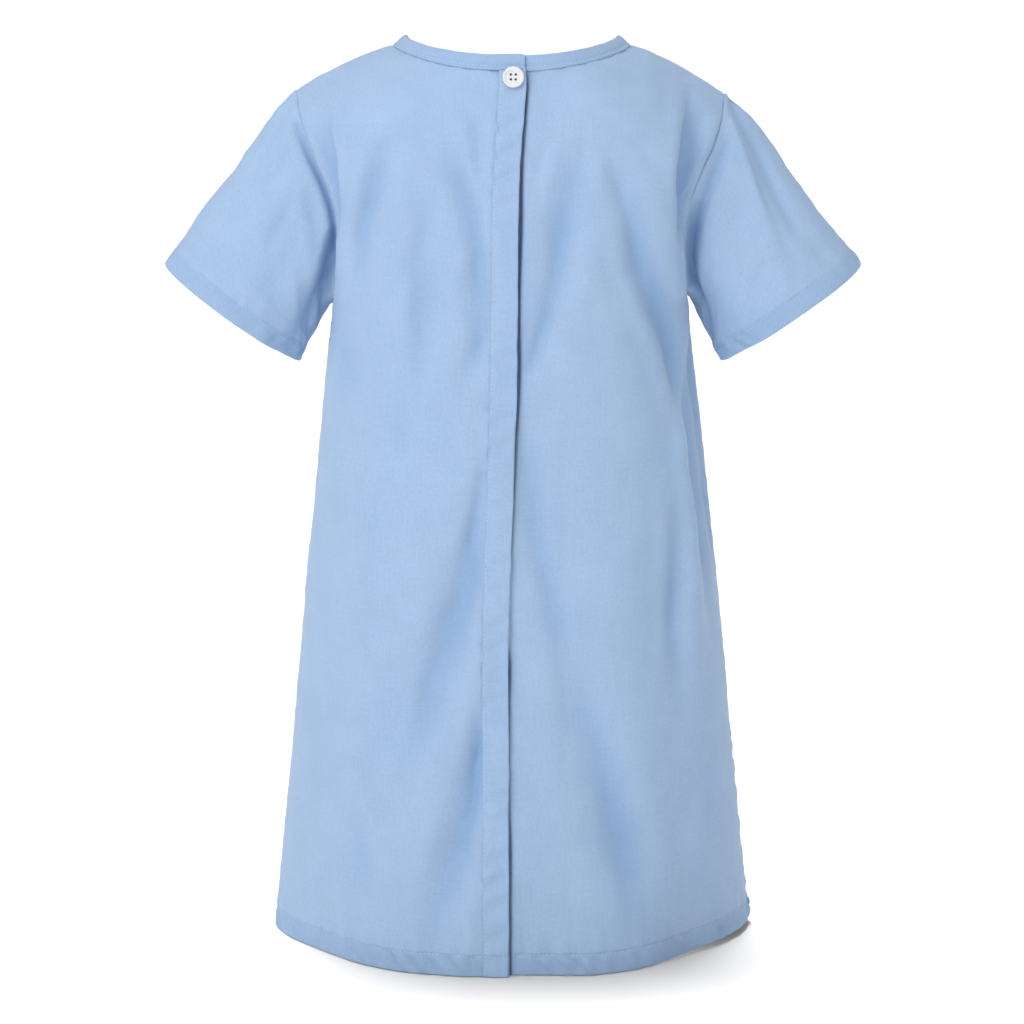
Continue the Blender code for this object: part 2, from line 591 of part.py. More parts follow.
def flute_depth(flutes, stations, shares):
    """How deep a sleeve's folds are at each ring and share of the way round."""
    total = np.zeros((len(stations), len(shares)))
    for flute in flutes:
        span = flute.end_along - flute.start_along
        along = np.clip((stations - flute.start_along) / span, 0.0, 1.0)
        centre = flute.start_around + (flute.end_around - flute.start_around) * along
        apart = np.abs((shares[None, :] - centre[:, None] + 0.5) % 1.0 - 0.5)
        to_cuff = 0.5 if flute.end_along >= 1.0 else 1.0
        taper = np.sin(math.pi * along * to_cuff) ** FLUTE_TAPER
        total += flute.depth * taper[:, None] * np.exp(-((apart / flute.width) ** 2))
    return total


# ---- seams and walls -----------------------------------------------------------------------
def key(point):
    """A point's place in small steps, to find points that coincide."""
    return tuple(int(v) for v in np.round(point / SAME_PLACE))


def shared_normals(body, sleeves):
    """Normals of each surface, made equal where edges meet: body pieces first, then sleeves."""
    normals = {name: surface.normals() for name, surface in {**body, **sleeves}.items()}

    def total_at(group):
        found = {}
        for name, surface in group.items():
            for number in {n for edge in surface.rim() for n in edge[:2]}:
                found.setdefault(key(surface.points[number]), []).append(normals[name][number])
        return {place: unit(np.sum(these, axis=0)) for place, these in found.items()}

    body_at, sleeve_at = total_at(body), total_at(sleeves)
    for name, surface in {**body, **sleeves}.items():
        for number in {n for edge in surface.rim() for n in edge[:2]}:
            place = key(surface.points[number])
            both = body_at.get(place, 0) + sleeve_at.get(place, np.zeros(3))
            normals[name][number] = unit(both)
    return normals


def unit(vector):
    """The vector at length 1."""
    return vector / np.linalg.norm(vector)


def wall(surface, shared, meeting):
    """The outer and inner points of a piece, drawn back from the seams that it meets."""
    own = surface.normals()
    square = np.maximum(np.einsum("ij,ij->i", own, shared), MITRE_LIMIT)
    outer = surface.points.copy()
    pulls = {}
    for a, b, quad in surface.rim():
        if key(surface.points[a]) in meeting and key(surface.points[b]) in meeting:
            middle = surface.points[list(quad)].mean(axis=0)
            along = unit(surface.points[b] - surface.points[a])
            inwards = middle - (surface.points[a] + surface.points[b]) / 2
            inwards = unit(inwards - along * (inwards @ along))
            for number in (a, b):
                pulls.setdefault(number, []).append(inwards)
    for number, directions in pulls.items():
        wanted = np.full(len(directions), SEAM_GAP / 2 / square[number])
        outer[number] += np.linalg.pinv(np.array(directions), rcond=CORNER_CUTOFF) @ wanted
    inner = outer - shared * (surface.thickness / square)[:, None]
    return outer, inner


def solid(name, outer, inner, quads, rim, finish):
    """A closed wall between two sets of points, as an object."""
    count = len(outer)
    faces = list(quads) + [tuple(n + count for n in reversed(quad)) for quad in quads]
    faces += [(b, a, a + count, b + count) for a, b, _ in rim]
    return add_object(name, np.concatenate([outer, inner]), faces, finish)


def add_object(name, points, faces, finish):
    """Makes an object of triangles from points and faces, shaded smooth but for sharp edges."""
    mesh = bpy.data.meshes.new(name)
    mesh.from_pydata([tuple(p) for p in points], [], faces)
    mesh.validate()
    work = bmesh.new()
    work.from_mesh(mesh)
    bmesh.ops.triangulate(work, faces=work.faces)
    work.to_mesh(mesh)
    work.free()
    mesh.shade_smooth()
    mesh.set_sharp_from_angle(angle=SHARP_CLOTH)
    mesh.materials.append(material(*finish))
    obj = bpy.data.objects.new(name, mesh)
    bpy.context.scene.collection.objects.link(obj)
    return obj


def material(name, colour, roughness):
    """A finish that is made once and shared."""
    found = bpy.data.materials.get(name)
    if found:
        return found
    found = bpy.data.materials.new(name)
    found.use_nodes = True
    shader = found.node_tree.nodes["Principled BSDF"]
    shader.inputs["Base Color"].default_value = colour
    shader.inputs["Roughness"].default_value = roughness
    shader.inputs["Metallic"].default_value = 0.0
    return found


# ---- placket, neck band and button ---------------------------------------------------------
def placket_edge(drop):
    """Where the left back ends, across from the middle towards +X."""
    return read(PLACKET_EDGE, "drop", "x", drop)


def left_edge(drop):
    """The left back's inner end, measured on its own side."""
    return -placket_edge(drop)


def right_edge(drop):
    """The right back's inner end, which the placket hides."""
    return placket_edge(drop) - PLACKET_WIDTH


def back_middle_point(x, drop, out):
    """A point on the flat middle of the back, `out` outside the right back's face."""
    return (x, -read(BACK_MIDDLE, "drop", "depth", drop) - out, -drop)


def make_placket():
    """The band down the edge of the left back, lying on it from the neckline to the hem."""
    top = BACK_NECK.drop + SEAM_GAP
    above = np.linspace(UNDERARM_DROP, top, 2 * YOKE_ROWS + 1)
    drops = np.concatenate([body_drops(), above[1:]])
    shares = (0.0, 0.5, 1.0)
    low = LAP + SEAM_GAP
    layers = []
    for out in (low + PLACKET_CLOTH, low):
        layer = []
        for drop in drops:
            edge = placket_edge(drop)
            layer += [back_middle_point(edge - s * PLACKET_WIDTH, drop, out) for s in shares]
        layers.append(np.array(layer))

    def index(row, column):
        return row * len(shares) + column

    quads = turned(grid_quads(len(drops) - 1, len(shares) - 1, index))
    rim = Surface(layers[0], quads).rim()
    return solid("placket", layers[0], layers[1], quads, rim, BLUE_CLOTH)


def neck_loop(body):
    """The neckline's points from the left back's end round the front to the right back's."""
    left, front, right = (
        body[name].points[body[name].neckline] for name in ("back_left", "front", "back_right")
    )
    return np.concatenate([left, front[1:-1], right[::-1]])


def make_neck_band(loop):
    """The band round the neck. It stands on the neckline, and its ends lap at the back."""
    steps = np.gradient(loop, axis=0)
    sideways = np.stack([steps[:, 1], -steps[:, 0]], axis=1)
    sideways /= np.linalg.norm(sideways, axis=1, keepdims=True)
    turn = np.arctan2(loop[:, 0] / NECK_HALF_WIDTH, -loop[:, 1] / BACK_NECK.depth)
    to_front = 0.5 - 0.5 * np.cos(turn)
    to_side = np.sin(turn) ** 2
    ends = BAND_SLOPE_BACK * (1 - to_front) + BAND_SLOPE_FRONT * to_front
    slope = ends * (1 - to_side) + BAND_SLOPE_SIDE * to_side
    lean = np.column_stack([sideways * np.cos(slope)[:, None], np.sin(slope)])
    out = np.cross(lean, steps / np.linalg.norm(steps, axis=1, keepdims=True))
    out /= np.linalg.norm(out, axis=1, keepdims=True)
    heights = (BAND_SEAM, BAND_SEAM + BAND_HEIGHT / 2, BAND_SEAM + BAND_HEIGHT)
    outer = np.array([loop + lean * h + out * BAND_PROUD for h in heights]).reshape(-1, 3)
    inner = outer - np.tile(out, (3, 1)) * BAND_CLOTH
    inner[: len(loop)] += lean * BAND_RELIEF

    def index(row, column):
        return row * len(loop) + column

    quads = turned(grid_quads(2, len(loop) - 1, index))
    rim = Surface(outer, quads).rim()
    return solid("neck_band", outer, inner, quads, rim, BLUE_CLOTH)


def make_button():
    """The button on the placket just under the neck band: a dished disc with four holes."""
    x, drop = BUTTON_PLACE
    near = read(BACK_MIDDLE, "drop", "depth", drop - MM)
    slope = math.atan2(read(BACK_MIDDLE, "drop", "depth", drop + MM) - near, 2 * MM)
    radius, rim, edge, top = BUTTON_DIAMETER / 2, BUTTON_RIM, BUTTON_EDGE, BUTTON_THICKNESS
    profile = [
        (0, 0), (radius - edge, 0), (radius, edge), (radius, top - edge), (radius - edge, top),
        (radius - rim, top), (radius - rim - edge, top - BUTTON_DISH), (0, top - BUTTON_DISH),
    ]
    work = bmesh.new()
    rings, around = [], BUTTON_SIDES
    for r, z in profile:
        if r == 0:
            rings.append([work.verts.new((0, 0, z))])
            continue
        turns = [2 * math.pi * i / around for i in range(around)]
        rings.append([work.verts.new((r * math.cos(t), r * math.sin(t), z)) for t in turns])
    for low, high in zip(rings, rings[1:]):
        for i in range(around):
            j = (i + 1) % around
            corners = [low[i % len(low)], low[j % len(low)], high[j % len(high)], high[i % len(high)]]
            work.faces.new(list(dict.fromkeys(corners)))
    bmesh.ops.recalc_face_normals(work, faces=work.faces)
    mesh = bpy.data.meshes.new("button")
    work.to_mesh(mesh)
    work.free()
    mesh.materials.append(material(*WHITE_BUTTON))
    button = bpy.data.objects.new("button", mesh)
    bpy.context.scene.collection.objects.link(button)
    for side in (-1, 1):
        for up in (-1, 1):
            place = (side * BUTTON_HOLE_PITCH / 2, up * BUTTON_HOLE_PITCH / 2)
            drill_hole(button, place)
    clear = LAP + 2 * SEAM_GAP + PLACKET_CLOTH
    button.location = back_middle_point(x, drop, clear)
    button.rotation_euler = (math.pi / 2 - slope, 0, 0)
    mesh.shade_smooth()
    mesh.set_sharp_from_angle(angle=SHARP_BUTTON)
    return button


def drill_hole(obj, place):
    """Cuts a thread hole through an object, at a place on its face."""
    work = bmesh.new()
    bmesh.ops.create_cone(
        work, cap_ends=True, segments=HOLE_SIDES, radius1=BUTTON_HOLE / 2, radius2=BUTTON_HOLE / 2,
        depth=4 * BUTTON_THICKNESS,
    )
    bmesh.ops.translate(work, verts=work.verts, vec=(*place, 0))
    mesh = bpy.data.meshes.new("hole_cutter")
    work.to_mesh(mesh)
    work.free()
    cutter = bpy.data.objects.new("hole_cutter", mesh)
    bpy.context.scene.collection.objects.link(cutter)
    cutter.hide_render = True
    cutter.display_type = "WIRE"
    cut = obj.modifiers.new("hole", "BOOLEAN")
    cut.operation = "DIFFERENCE"
    cut.object = cutter
    cutter.parent = obj


# ---- the gown ------------------------------------------------------------------------------
def make_gown():
    """Builds every piece of the gown."""
    body = {
        "front": front_surface(),
        "back_left": back_surface(-1, left_edge, LAP),
        "back_right": back_surface(1, right_edge, 0.0),
    }
    sleeves = {
        "sleeve_left": sleeve_surface(-1, LEFT_FLUTES),
        "sleeve_right": sleeve_surface(1, RIGHT_FLUTES),
    }
    loop = neck_loop(body)
    shared = shared_normals(body, sleeves)
    pieces = {**body, **sleeves}
    places = {}
    for name, surface in pieces.items():
        for number in {n for edge in surface.rim() for n in edge[:2]}:
            places.setdefault(key(surface.points[number]), set()).add(name)
    meeting = {place for place, names in places.items() if len(names) > 1}
    for name, surface in pieces.items():
        outer, inner = wall(surface, shared[name], meeting)
        solid(name, outer, inner, surface.quads, surface.rim(), BLUE_CLOTH)
    make_placket()
    make_neck_band(loop)
    make_button()


for old in list(bpy.data.objects):
    bpy.data.objects.remove(old)
make_gown()
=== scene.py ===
"""Looks of a child's hospital gown with a back opening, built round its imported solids.

The gown keeps the hollow form that it has when it is worn. Sizes here are in millimetres, and
become metres when a mesh is made. A drop is a height below the origin, which is level with the
neck ends of the shoulder seams. Widths count from the middle of the gown, and a depth counts
towards the back (-Y) on a back piece and towards the front (+Y) on a front piece. Pieces are
worked out on the +X side, the wearer's right, and mirrored for the left.
"""

import logging
import math
from collections.abc import Callable
from dataclasses import dataclass, field
from enum import Enum

import bpy
import numpy as np
from mathutils import Matrix, Vector


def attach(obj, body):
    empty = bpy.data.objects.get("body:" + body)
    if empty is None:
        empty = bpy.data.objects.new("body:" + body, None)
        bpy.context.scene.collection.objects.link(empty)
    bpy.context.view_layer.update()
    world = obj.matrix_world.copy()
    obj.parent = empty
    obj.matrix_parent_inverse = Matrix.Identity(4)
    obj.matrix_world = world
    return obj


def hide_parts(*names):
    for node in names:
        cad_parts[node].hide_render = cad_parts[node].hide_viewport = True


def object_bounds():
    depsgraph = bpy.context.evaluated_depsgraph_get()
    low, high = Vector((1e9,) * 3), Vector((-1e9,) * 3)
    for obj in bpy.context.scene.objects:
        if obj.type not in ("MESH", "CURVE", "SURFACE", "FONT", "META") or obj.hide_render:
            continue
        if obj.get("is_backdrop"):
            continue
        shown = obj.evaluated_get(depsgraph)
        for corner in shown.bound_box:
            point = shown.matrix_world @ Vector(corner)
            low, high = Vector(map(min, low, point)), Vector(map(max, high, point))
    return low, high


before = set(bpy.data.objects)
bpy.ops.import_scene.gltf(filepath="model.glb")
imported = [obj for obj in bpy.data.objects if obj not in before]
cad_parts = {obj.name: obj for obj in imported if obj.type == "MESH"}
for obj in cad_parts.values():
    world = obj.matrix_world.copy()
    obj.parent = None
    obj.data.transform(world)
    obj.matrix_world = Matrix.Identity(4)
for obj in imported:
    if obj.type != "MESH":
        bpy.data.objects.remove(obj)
CAD_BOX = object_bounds()
LOG = logging.getLogger("hospital_gown")
BODY = "root"
CLOTH_SLOT, BUTTON_SLOT = "blue_cloth", "white_button"
MM = 0.001
Colour = tuple[float, float, float, float]  # red, green, blue and alpha

# ---- driving dimensions, as the solids have them -------------------------------------------
LENGTH = 580.0
HEM_HALF_WIDTH = 157.4
UNDERARM_DROP = 163.0
UNDERARM_HALF_WIDTH = 112.0
NECK_HALF_WIDTH = 73.6
SHOULDER_DROP = 31.0
SHOULDER_HALF_WIDTH = 134.3
LAP = 2.6  # how far the left back lies outside the right back
LAP_FADE = (20.0, 52.0)  # the widths between which the lap dies out
PLACKET_CALM = 20.0  # the largest folds stay this far from the middle of the back
PLACKET_WIDTH = 16.0
FOLD_FADE = 16.0  # the largest folds die out this far from a seam
NECK_FADE, TOP_FADE = 8.0, 6.0  # and the creases this far from the neckline and shoulder seam
YOKE_LEAN, SHOULDER_LEAN = 1.5, 1.35  # how late a row falls from the neck to the armhole
NECKLINE_ROUND = 1.9
ARMHOLE_AT_NECK = 0.46  # the share of the armhole that is below the neckline's lowest point
FOLD_TAPER, CREASE_TAPER, FLUTE_TAPER = 0.7, 1.0, 0.8  # powers that shape the folds' ends
LAID_GAP = 0.3  # between cloth and what is laid on it

# ---- how finely the cloth is made ----------------------------------------------------------
FINE = 400  # points on a curve before it is divided
HEM_LINES = (0.0, 0.6, 1.6, 3.2, 5.5, 8.0, 10.0, 11.2, 12.0, 12.6, 13.2, 13.8, 14.6, 16.0, 18.5)
HEM_STITCH_LINE = 9  # the place in HEM_LINES of the line of stitches
HEM_TOP = 13.9  # the turned hem reaches up to here
SEAM_STEPS = (0.0, 0.35, 0.8, 1.4, 2.2, 3.4, 5.0)  # rows beside a seam, from it inwards
BODY_STEPS, YOKE_STEPS, NECK_STEPS = 152, 58, 42
NECKLINE_LENGTH = 105.0
FOLD_POINTS = 33  # on the line of a fold
EASE_TIMES, EASE_ROWS = 40, 12  # how much and how far the turn at the underarm is smoothed
WAVE_COUNT = 22  # sines in one kind of waves
MEETING = 0.02  # points in the same cell of this size are one place

CLOTH = 0.55  # one layer
TURNED_HEM = 1.25  # the hem, turned up twice
TURNED_CUFF = 1.1
LAYERS = "layers"  # the attribute that is 1 where cloth is turned up, and looks darker
PAINTED_SHADE = "hollow"  # the attribute that is 1 deep in a fold, where the cloth's colour is painted darker and bluer as shade
# a fold this deep gets the full painted shade
PAINTED_SHADE_DEPTH = 8.0


class Side(Enum):
    """Which half of the gown, as the wearer has it, and its sign along X."""

    LEFT = -1
    RIGHT = 1


class Facing(Enum):
    """Which way a panel faces, and its sign along Y."""

    BACK = -1
    FRONT = 1


# ---- rows of the tables, in millimetres ----------------------------------------------------
@dataclass(frozen=True)
class Ring:
    """The body at one drop: its width, how square its corners are and how flat its middle."""

    drop: float
    half_width: float
    squareness: float
    flat: float


@dataclass(frozen=True)
class Depth:
    """How far the middle of the back or front stands from the side seams at one drop."""

    drop: float
    depth: float


@dataclass(frozen=True)
class Arm:
    """A place on the armhole seam, and the swell and squareness of the row that ends there."""

    share: float
    x: float
    depth: float
    drop: float
    swell: float
    squareness: float


@dataclass(frozen=True)
class Edge:
    """Where a line down the gown lies across it at one drop."""

    drop: float
    x: float


@dataclass(frozen=True)
class Neckline:
    """A neckline: flat near the middle, then a quarter round up to the shoulder."""

    flat: float
    drop: float
    depth: float


@dataclass(frozen=True)
class Push:
    """A place where the filled gown stands further out or up than its mirror image."""

    x: float
    drop: float
    reach: float
    out: float
    up: float


@dataclass(frozen=True)
class Fold:
    """A soft trough through three places (x, drop), or a ridge where its depth is below zero.

    Width is its half width on the side towards the wearer's right, and skew times that on the
    other side. Beside is how high the cloth swells on those two sides, as shares of the depth.
    """

    x: float
    drop: float
    mid_x: float
    mid_drop: float
    end_x: float
    end_drop: float
    width: float
    depth: float
    beside: tuple[float, float] = (0.0, 0.0)
    skew: float = 1.0


@dataclass(frozen=True)
class Flute:
    """A fold of a sleeve. Around is the share of the way round from the underarm over the
    back, the shoulder and the front, and along goes from the armhole (0) to the cuff (1)."""

    start_around: float
    end_around: float
    start_along: float
    end_along: float
    width: float
    depth: float


@dataclass(frozen=True)
class Tuck:
    """A fold of a sleeve that runs beside its armhole seam, so far from it at its two ends."""

    start_around: float
    end_around: float
    start_at: float
    end_at: float
    width: float
    depth: float


@dataclass(frozen=True)
class Gap:
    """How deep and how wide the right back dips beside the placket's edge at one drop."""

    drop: float
    depth: float
    width: float


RINGS = (
    Ring(UNDERARM_DROP, UNDERARM_HALF_WIDTH, 2.3, 10),
    Ring(195, 115.9, 2.25, 12),
    Ring(234, 120.9, 2.15, 14),
    Ring(287, 127.0, 2.05, 17),
    Ring(340, 133.2, 2.0, 20),
    Ring(394, 138.5, 1.9, 23),
    Ring(448, 143.7, 1.8, 26),
    Ring(503, 149.6, 1.7, 29),
    Ring(LENGTH, HEM_HALF_WIDTH, 1.6, 33),
)
BACK_MIDDLE = (
    Depth(9.8, 60),
    Depth(33, 65.5),
    Depth(62, 70.5),
    Depth(95, 73.5),
    Depth(UNDERARM_DROP, 76.5),
    Depth(287, 84),
    Depth(394, 92),
    Depth(503, 100),
    Depth(LENGTH, 106),
)
FRONT_MIDDLE = (
    Depth(50, 58),
    Depth(75, 66),
    Depth(110, 73),
    Depth(UNDERARM_DROP, 79),
    Depth(230, 84),
    Depth(300, 88),
    Depth(394, 93),
    Depth(LENGTH, 103),
)
BACK_ARMHOLE = (
    Arm(0.00, UNDERARM_HALF_WIDTH, 0.0, UNDERARM_DROP, 0.0, 2.3),
    Arm(0.10, 110.6, 12.5, 158.5, 0.8, 2.35),
    Arm(0.22, 108.9, 22.0, 144.5, 2.0, 2.4),
    Arm(0.36, 108.2, 27.5, 122.5, 2.6, 2.4),
    Arm(0.50, 110.6, 30.0, 100.5, 1.4, 2.35),
    Arm(0.64, 117.4, 29.5, 80.5, 0.4, 2.3),
    Arm(0.78, 126.0, 25.5, 61.5, 0.0, 2.2),
    Arm(0.90, 132.4, 16.5, 42.5, 0.0, 2.1),
    Arm(1.00, SHOULDER_HALF_WIDTH, 0.0, SHOULDER_DROP, 0.0, 2.0),
)
FRONT_ARMHOLE = (
    Arm(0.00, UNDERARM_HALF_WIDTH, 0.0, UNDERARM_DROP, 0.0, 2.3),
    Arm(0.10, 110.2, 12.0, 158.0, 0.6, 2.3),
    Arm(0.22, 107.2, 20.5, 143.5, 1.2, 2.3),
    Arm(0.36, 105.2, 25.0, 121.0, 1.4, 2.3),
    Arm(0.50, 106.8, 27.0, 98.5, 0.8, 2.25),
    Arm(0.64, 113.6, 26.5, 78.5, 0.2, 2.2),
    Arm(0.78, 123.6, 23.0, 60.0, 0.0, 2.15),
    Arm(0.90, 131.6, 15.0, 42.0, 0.0, 2.05),
    Arm(1.00, SHOULDER_HALF_WIDTH, 0.0, SHOULDER_DROP, 0.0, 2.0),
)
PLACKET_EDGE = (
    Edge(0, 7.4),
    Edge(16, 8.0),
    Edge(40, 6.6),
    Edge(65, 4.8),
    Edge(114, 3.5),
    Edge(189, 2.8),
    Edge(240, 1.6),
    Edge(290, -0.4),
    Edge(368, -2.6),
    Edge(470, -2.5),
    Edge(LENGTH, -2.3),
)
BACK_NECK = Neckline(10, 9.8, 60)
FRONT_NECK = Neckline(0, 50, 58)
PUSHES = (
    Push(-130, 36, 38, 2.0, 3.4),
    Push(-166, 72, 34, -1.6, -1.0),
    Push(132, 36, 36, 0.2, 0.8),
    Push(-116, 185, 70, 2.4, 0.0),
    Push(185, 95, 36, -2.4, -1.0),
    Push(215, 140, 30, 2.0, 0.0),
    Push(157, 585, 42, 0.6, 4.5),
    Push(114, 164, 17, 0.0, 4.6),
)

# ---- folds: the solids' own, then the finer ones -------------------------------------------
BACK_FOLDS = (
    Fold(119, 38, 117, 70, 112, 112, 10, 5.0),
    Fold(-120, 36, -118, 70, -112, 112, 10, 4.0),
    Fold(64, 66, 78, 160, 112, 250, 11, 3.0),
    Fold(-80, 66, -94, 130, -98, 260, 12, 2.0),
    Fold(-44, 70, -50, 120, -55, 190, 14, 2.5),
    Fold(-22, 300, -48, 385, -94, 515, 20, 4.5),
    Fold(-26, 425, -42, 490, -60, 560, 14, 3.0),
    Fold(20, 225, 34, 330, 78, 520, 18, 4.0),
    Fold(24, 385, 44, 470, 58, 575, 16, 2.8),
    Fold(92, 300, 104, 440, 118, 600, 20, 4.5),
    Fold(-110, 330, -120, 460, -128, 600, 18, 3.0),
)
BACK_CREASES = (
    # left back, from the placket outwards
    Fold(-28, 30, -20, 56, -15, 92, 4.5, 2.6, (0.0, 0.1)),
    Fold(-42, 50, -24, 108, -17, 200, 8, 5.6, (0.0, 0.15), 1.2),
    Fold(-74, 48, -90, 94, -99, 150, 7, 4.8, (0.15, 0.3), 0.8),
    Fold(-93, 46, -103, 58, -101, 70, 3.5, 0.8, (0.2, 0.2)),
    Fold(-54, 84, -56, 150, -62, 262, 9, 3.2, (0.1, 0.2), 0.7),
    Fold(-17, 172, -20, 180, -24, 190, 3.0, 0.8, (0.2, 0.0)),
    Fold(-20, 158, -24, 186, -30, 214, 7, 2.0, (0.0, 0.1)),
    Fold(-18, 234, -36, 272, -62, 304, 7, -1.3),
    Fold(-15, 244, -21, 286, -31, 330, 5, 3.0, (0.0, 0.2)),
    Fold(-15, 276, -39, 362, -72, 464, 11, 5.2, (0.1, 0.3), 0.9),
    Fold(-16, 398, -22, 440, -33, 486, 5, 3.0, (0.0, 0.2)),
    Fold(-12, 404, -31, 484, -54, 577, 10, 5.8, (0.1, 0.3), 0.9),
    Fold(-102, 474, -98, 508, -92, 545, 9, 3.0, (0.0, 0.2)),
    Fold(-58, 330, -80, 420, -96, 470, 11, 2.2, (0.0, 0.2)),
    Fold(-104, 164, -105, 192, -98, 222, 9, 3.4, (0.0, 0.1)),
    Fold(-70, 192, -70, 228, -66, 266, 8, 2.6, (0.0, 0.1)),
    Fold(-116, 36, -112, 76, -110, 120, 2.6, 5.4, (0.0, 0.0), 3.2),
    # right back, from the placket outwards
    Fold(21, 52, 17, 68, 13, 88, 4, 1.6, (0.3, 0.0)),
    Fold(36, 56, 31, 118, 6, 202, 9, 5.0, (0.2, 0.15), 1.2),
    Fold(26, 150, 16, 178, 6, 206, 5, 2.2, (0.1, 0.1), 0.8),
    Fold(60, 56, 86, 148, 114, 236, 12, 6.4, (0.1, 0.2), 0.5),
    Fold(91, 140, 102, 190, 110, 244, 7, 4.2, (0.0, 0.1), 0.7),
    Fold(112, 24, 108.5, 74, 107, 134, 8, 8.4, (0.0, 0.1), 0.5),
    Fold(116, 180, 119, 262, 130, 384, 7, 7.5, (0.0, 0.35), 0.65),
    Fold(104, 262, 105, 344, 106, 412, 6, 5.0, (0.3, 0.1), 0.9),
    Fold(2, 214, 18, 302, 36, 414, 11, 4.4, (0.2, 0.1), 0.8),
    Fold(40, 380, 66, 480, 88, 577, 14, 6.0, (0.2, 0.15), 0.9),
    Fold(124, 448, 129, 486, 134, 530, 4, 1.8, (0.2, 0.2)),
    Fold(84, 240, 92, 320, 94, 400, 9, 1.4, (0.1, 0.1)),
    Fold(9, 18, 17, 14, 27, 13, 2.4, 0.5, (0.3, 0.3)),
    Fold(10, 24, 20, 30, 26, 42, 3.0, 0.5, (0.0, 0.3)),
)
GAPS = (
    Gap(10, 1.0, 1.2),
    Gap(23, 2.2, 1.1),
    Gap(61, 2.6, 1.1),
    Gap(80, 3.8, 1.3),
    Gap(99, 4.6, 1.5),
    Gap(117, 4.4, 1.4),
    Gap(136, 3.4, 1.1),
    Gap(174, 3.0, 1.0),
    Gap(193, 3.6, 1.4),
    Gap(212, 3.0, 1.3),
    Gap(231, 1.8, 0.9),
    Gap(262, 1.6, 0.8),
    Gap(300, 0.5, 0.6),
    Gap(372, 0.5, 0.6),
    Gap(381, 2.2, 1.0),
    Gap(405, 1.2, 0.8),
    Gap(480, 1.2, 0.8),
    Gap(500, 2.6, 1.2),
    Gap(520, 2.0, 1.0),
    Gap(LENGTH, 2.0, 1.0),
)
FRONT_FOLDS = (
    Fold(-52, 70, -62, 150, -100, 215, 14, 3.5),
    Fold(54, 66, 66, 140, 102, 205, 14, 3.8),
    Fold(-24, 190, -34, 370, -48, 600, 22, 4.0),
    Fold(30, 230, 38, 400, 40, 600, 20, 4.2),
    Fold(-84, 260, -98, 430, -106, 600, 20, 4.4),
    Fold(88, 280, 96, 440, 106, 600, 20, 4.0),
    Fold(2, 330, 0, 460, -4, 600, 16, -2.2),
)
FRONT_CREASES = (
    Fold(-34, 74, -44, 108, -48, 150, 6, 1.5, (0.2, 0.0)),
    Fold(30, 70, 42, 104, 50, 160, 6, 1.6, (0.0, 0.2)),
    Fold(8, 66, 12, 96, 10, 140, 6, 1.0, (0.2, 0.2)),
    Fold(-96, 52, -104, 78, -101, 108, 6, 2.0, (0.1, 0.25)),
    Fold(99, 50, 105, 78, 102, 106, 6, 2.2, (0.25, 0.1)),
    Fold(-108, 172, -88, 200, -56, 214, 6, 1.8, (0.2, 0.0)),
    Fold(109, 176, 84, 206, 46, 222, 6, 1.9, (0.0, 0.2)),
    Fold(14, 250, 20, 330, 12, 420, 8, 1.5, (0.2, 0.0)),
    Fold(-58, 300, -66, 380, -82, 470, 9, 1.8, (0.0, 0.2)),
    Fold(62, 330, 74, 420, 82, 520, 9, 1.7, (0.2, 0.0)),
    Fold(-118, 300, -126, 380, -130, 450, 7, 1.7, (0.0, 0.2)),
    Fold(120, 320, 129, 400, 134, 480, 7, 1.6, (0.2, 0.0)),
)
RIGHT_FLUTES = (
    Flute(0.33, 0.24, 0.10, 0.80, 0.050, 3.0),
    Flute(0.46, 0.37, 0.02, 0.95, 0.045, 2.6),
    Flute(0.08, 0.12, 0.10, 1.00, 0.045, 2.5),
    Flute(0.62, 0.68, 0.08, 0.90, 0.050, 2.8),
    Flute(0.84, 0.80, 0.10, 1.00, 0.050, 2.4),
)
LEFT_FLUTES = (
    Flute(0.30, 0.20, 0.08, 0.75, 0.050, 2.6),
    Flute(0.42, 0.36, 0.05, 0.90, 0.050, 1.8),
    Flute(0.07, 0.10, 0.10, 1.00, 0.045, 2.5),
    Flute(0.64, 0.70, 0.08, 0.90, 0.050, 2.6),
    Flute(0.83, 0.78, 0.10, 1.00, 0.050, 2.6),
)
RIGHT_CREASES = (
    Flute(0.475, 0.33, -0.10, 0.56, 0.013, -2.0),
    Flute(0.510, 0.36, -0.10, 0.74, 0.022, 3.4),
    Flute(0.440, 0.29, 0.10, 0.90, 0.022, 2.0),
    Flute(0.10, 0.02, 0.05, 0.75, 0.030, 5.0),
    Flute(0.62, 0.66, 0.05, 0.70, 0.020, 1.1),
    Flute(0.74, 0.72, 0.10, 0.80, 0.022, 0.9),
    Flute(0.90, 0.92, 0.10, 0.90, 0.020, 1.0),
)
LEFT_CREASES = (
    Flute(0.46, 0.36, -0.10, 0.45, 0.014, -1.2),
    Flute(0.49, 0.40, -0.10, 0.60, 0.020, 1.8),
    Flute(0.14, 0.07, 0.05, 0.70, 0.035, 4.5),
    Flute(0.32, 0.27, 0.22, 0.60, 0.020, 1.4),
    Flute(0.60, 0.65, 0.05, 0.75, 0.020, 1.0),
    Flute(0.76, 0.73, 0.10, 0.75, 0.022, 1.0),
    Flute(0.91, 0.94, 0.10, 0.90, 0.020, 0.9),
)
RIGHT_TUCKS = (
    Tuck(0.42, 0.16, 9.0, 8.0, 4.5, 4.4),
    Tuck(0.27, 0.01, 3.5, 8.0, 5.5, 7.5),
    Tuck(0.62, 0.86, 9.0, 12.0, 5.0, 2.2),
)
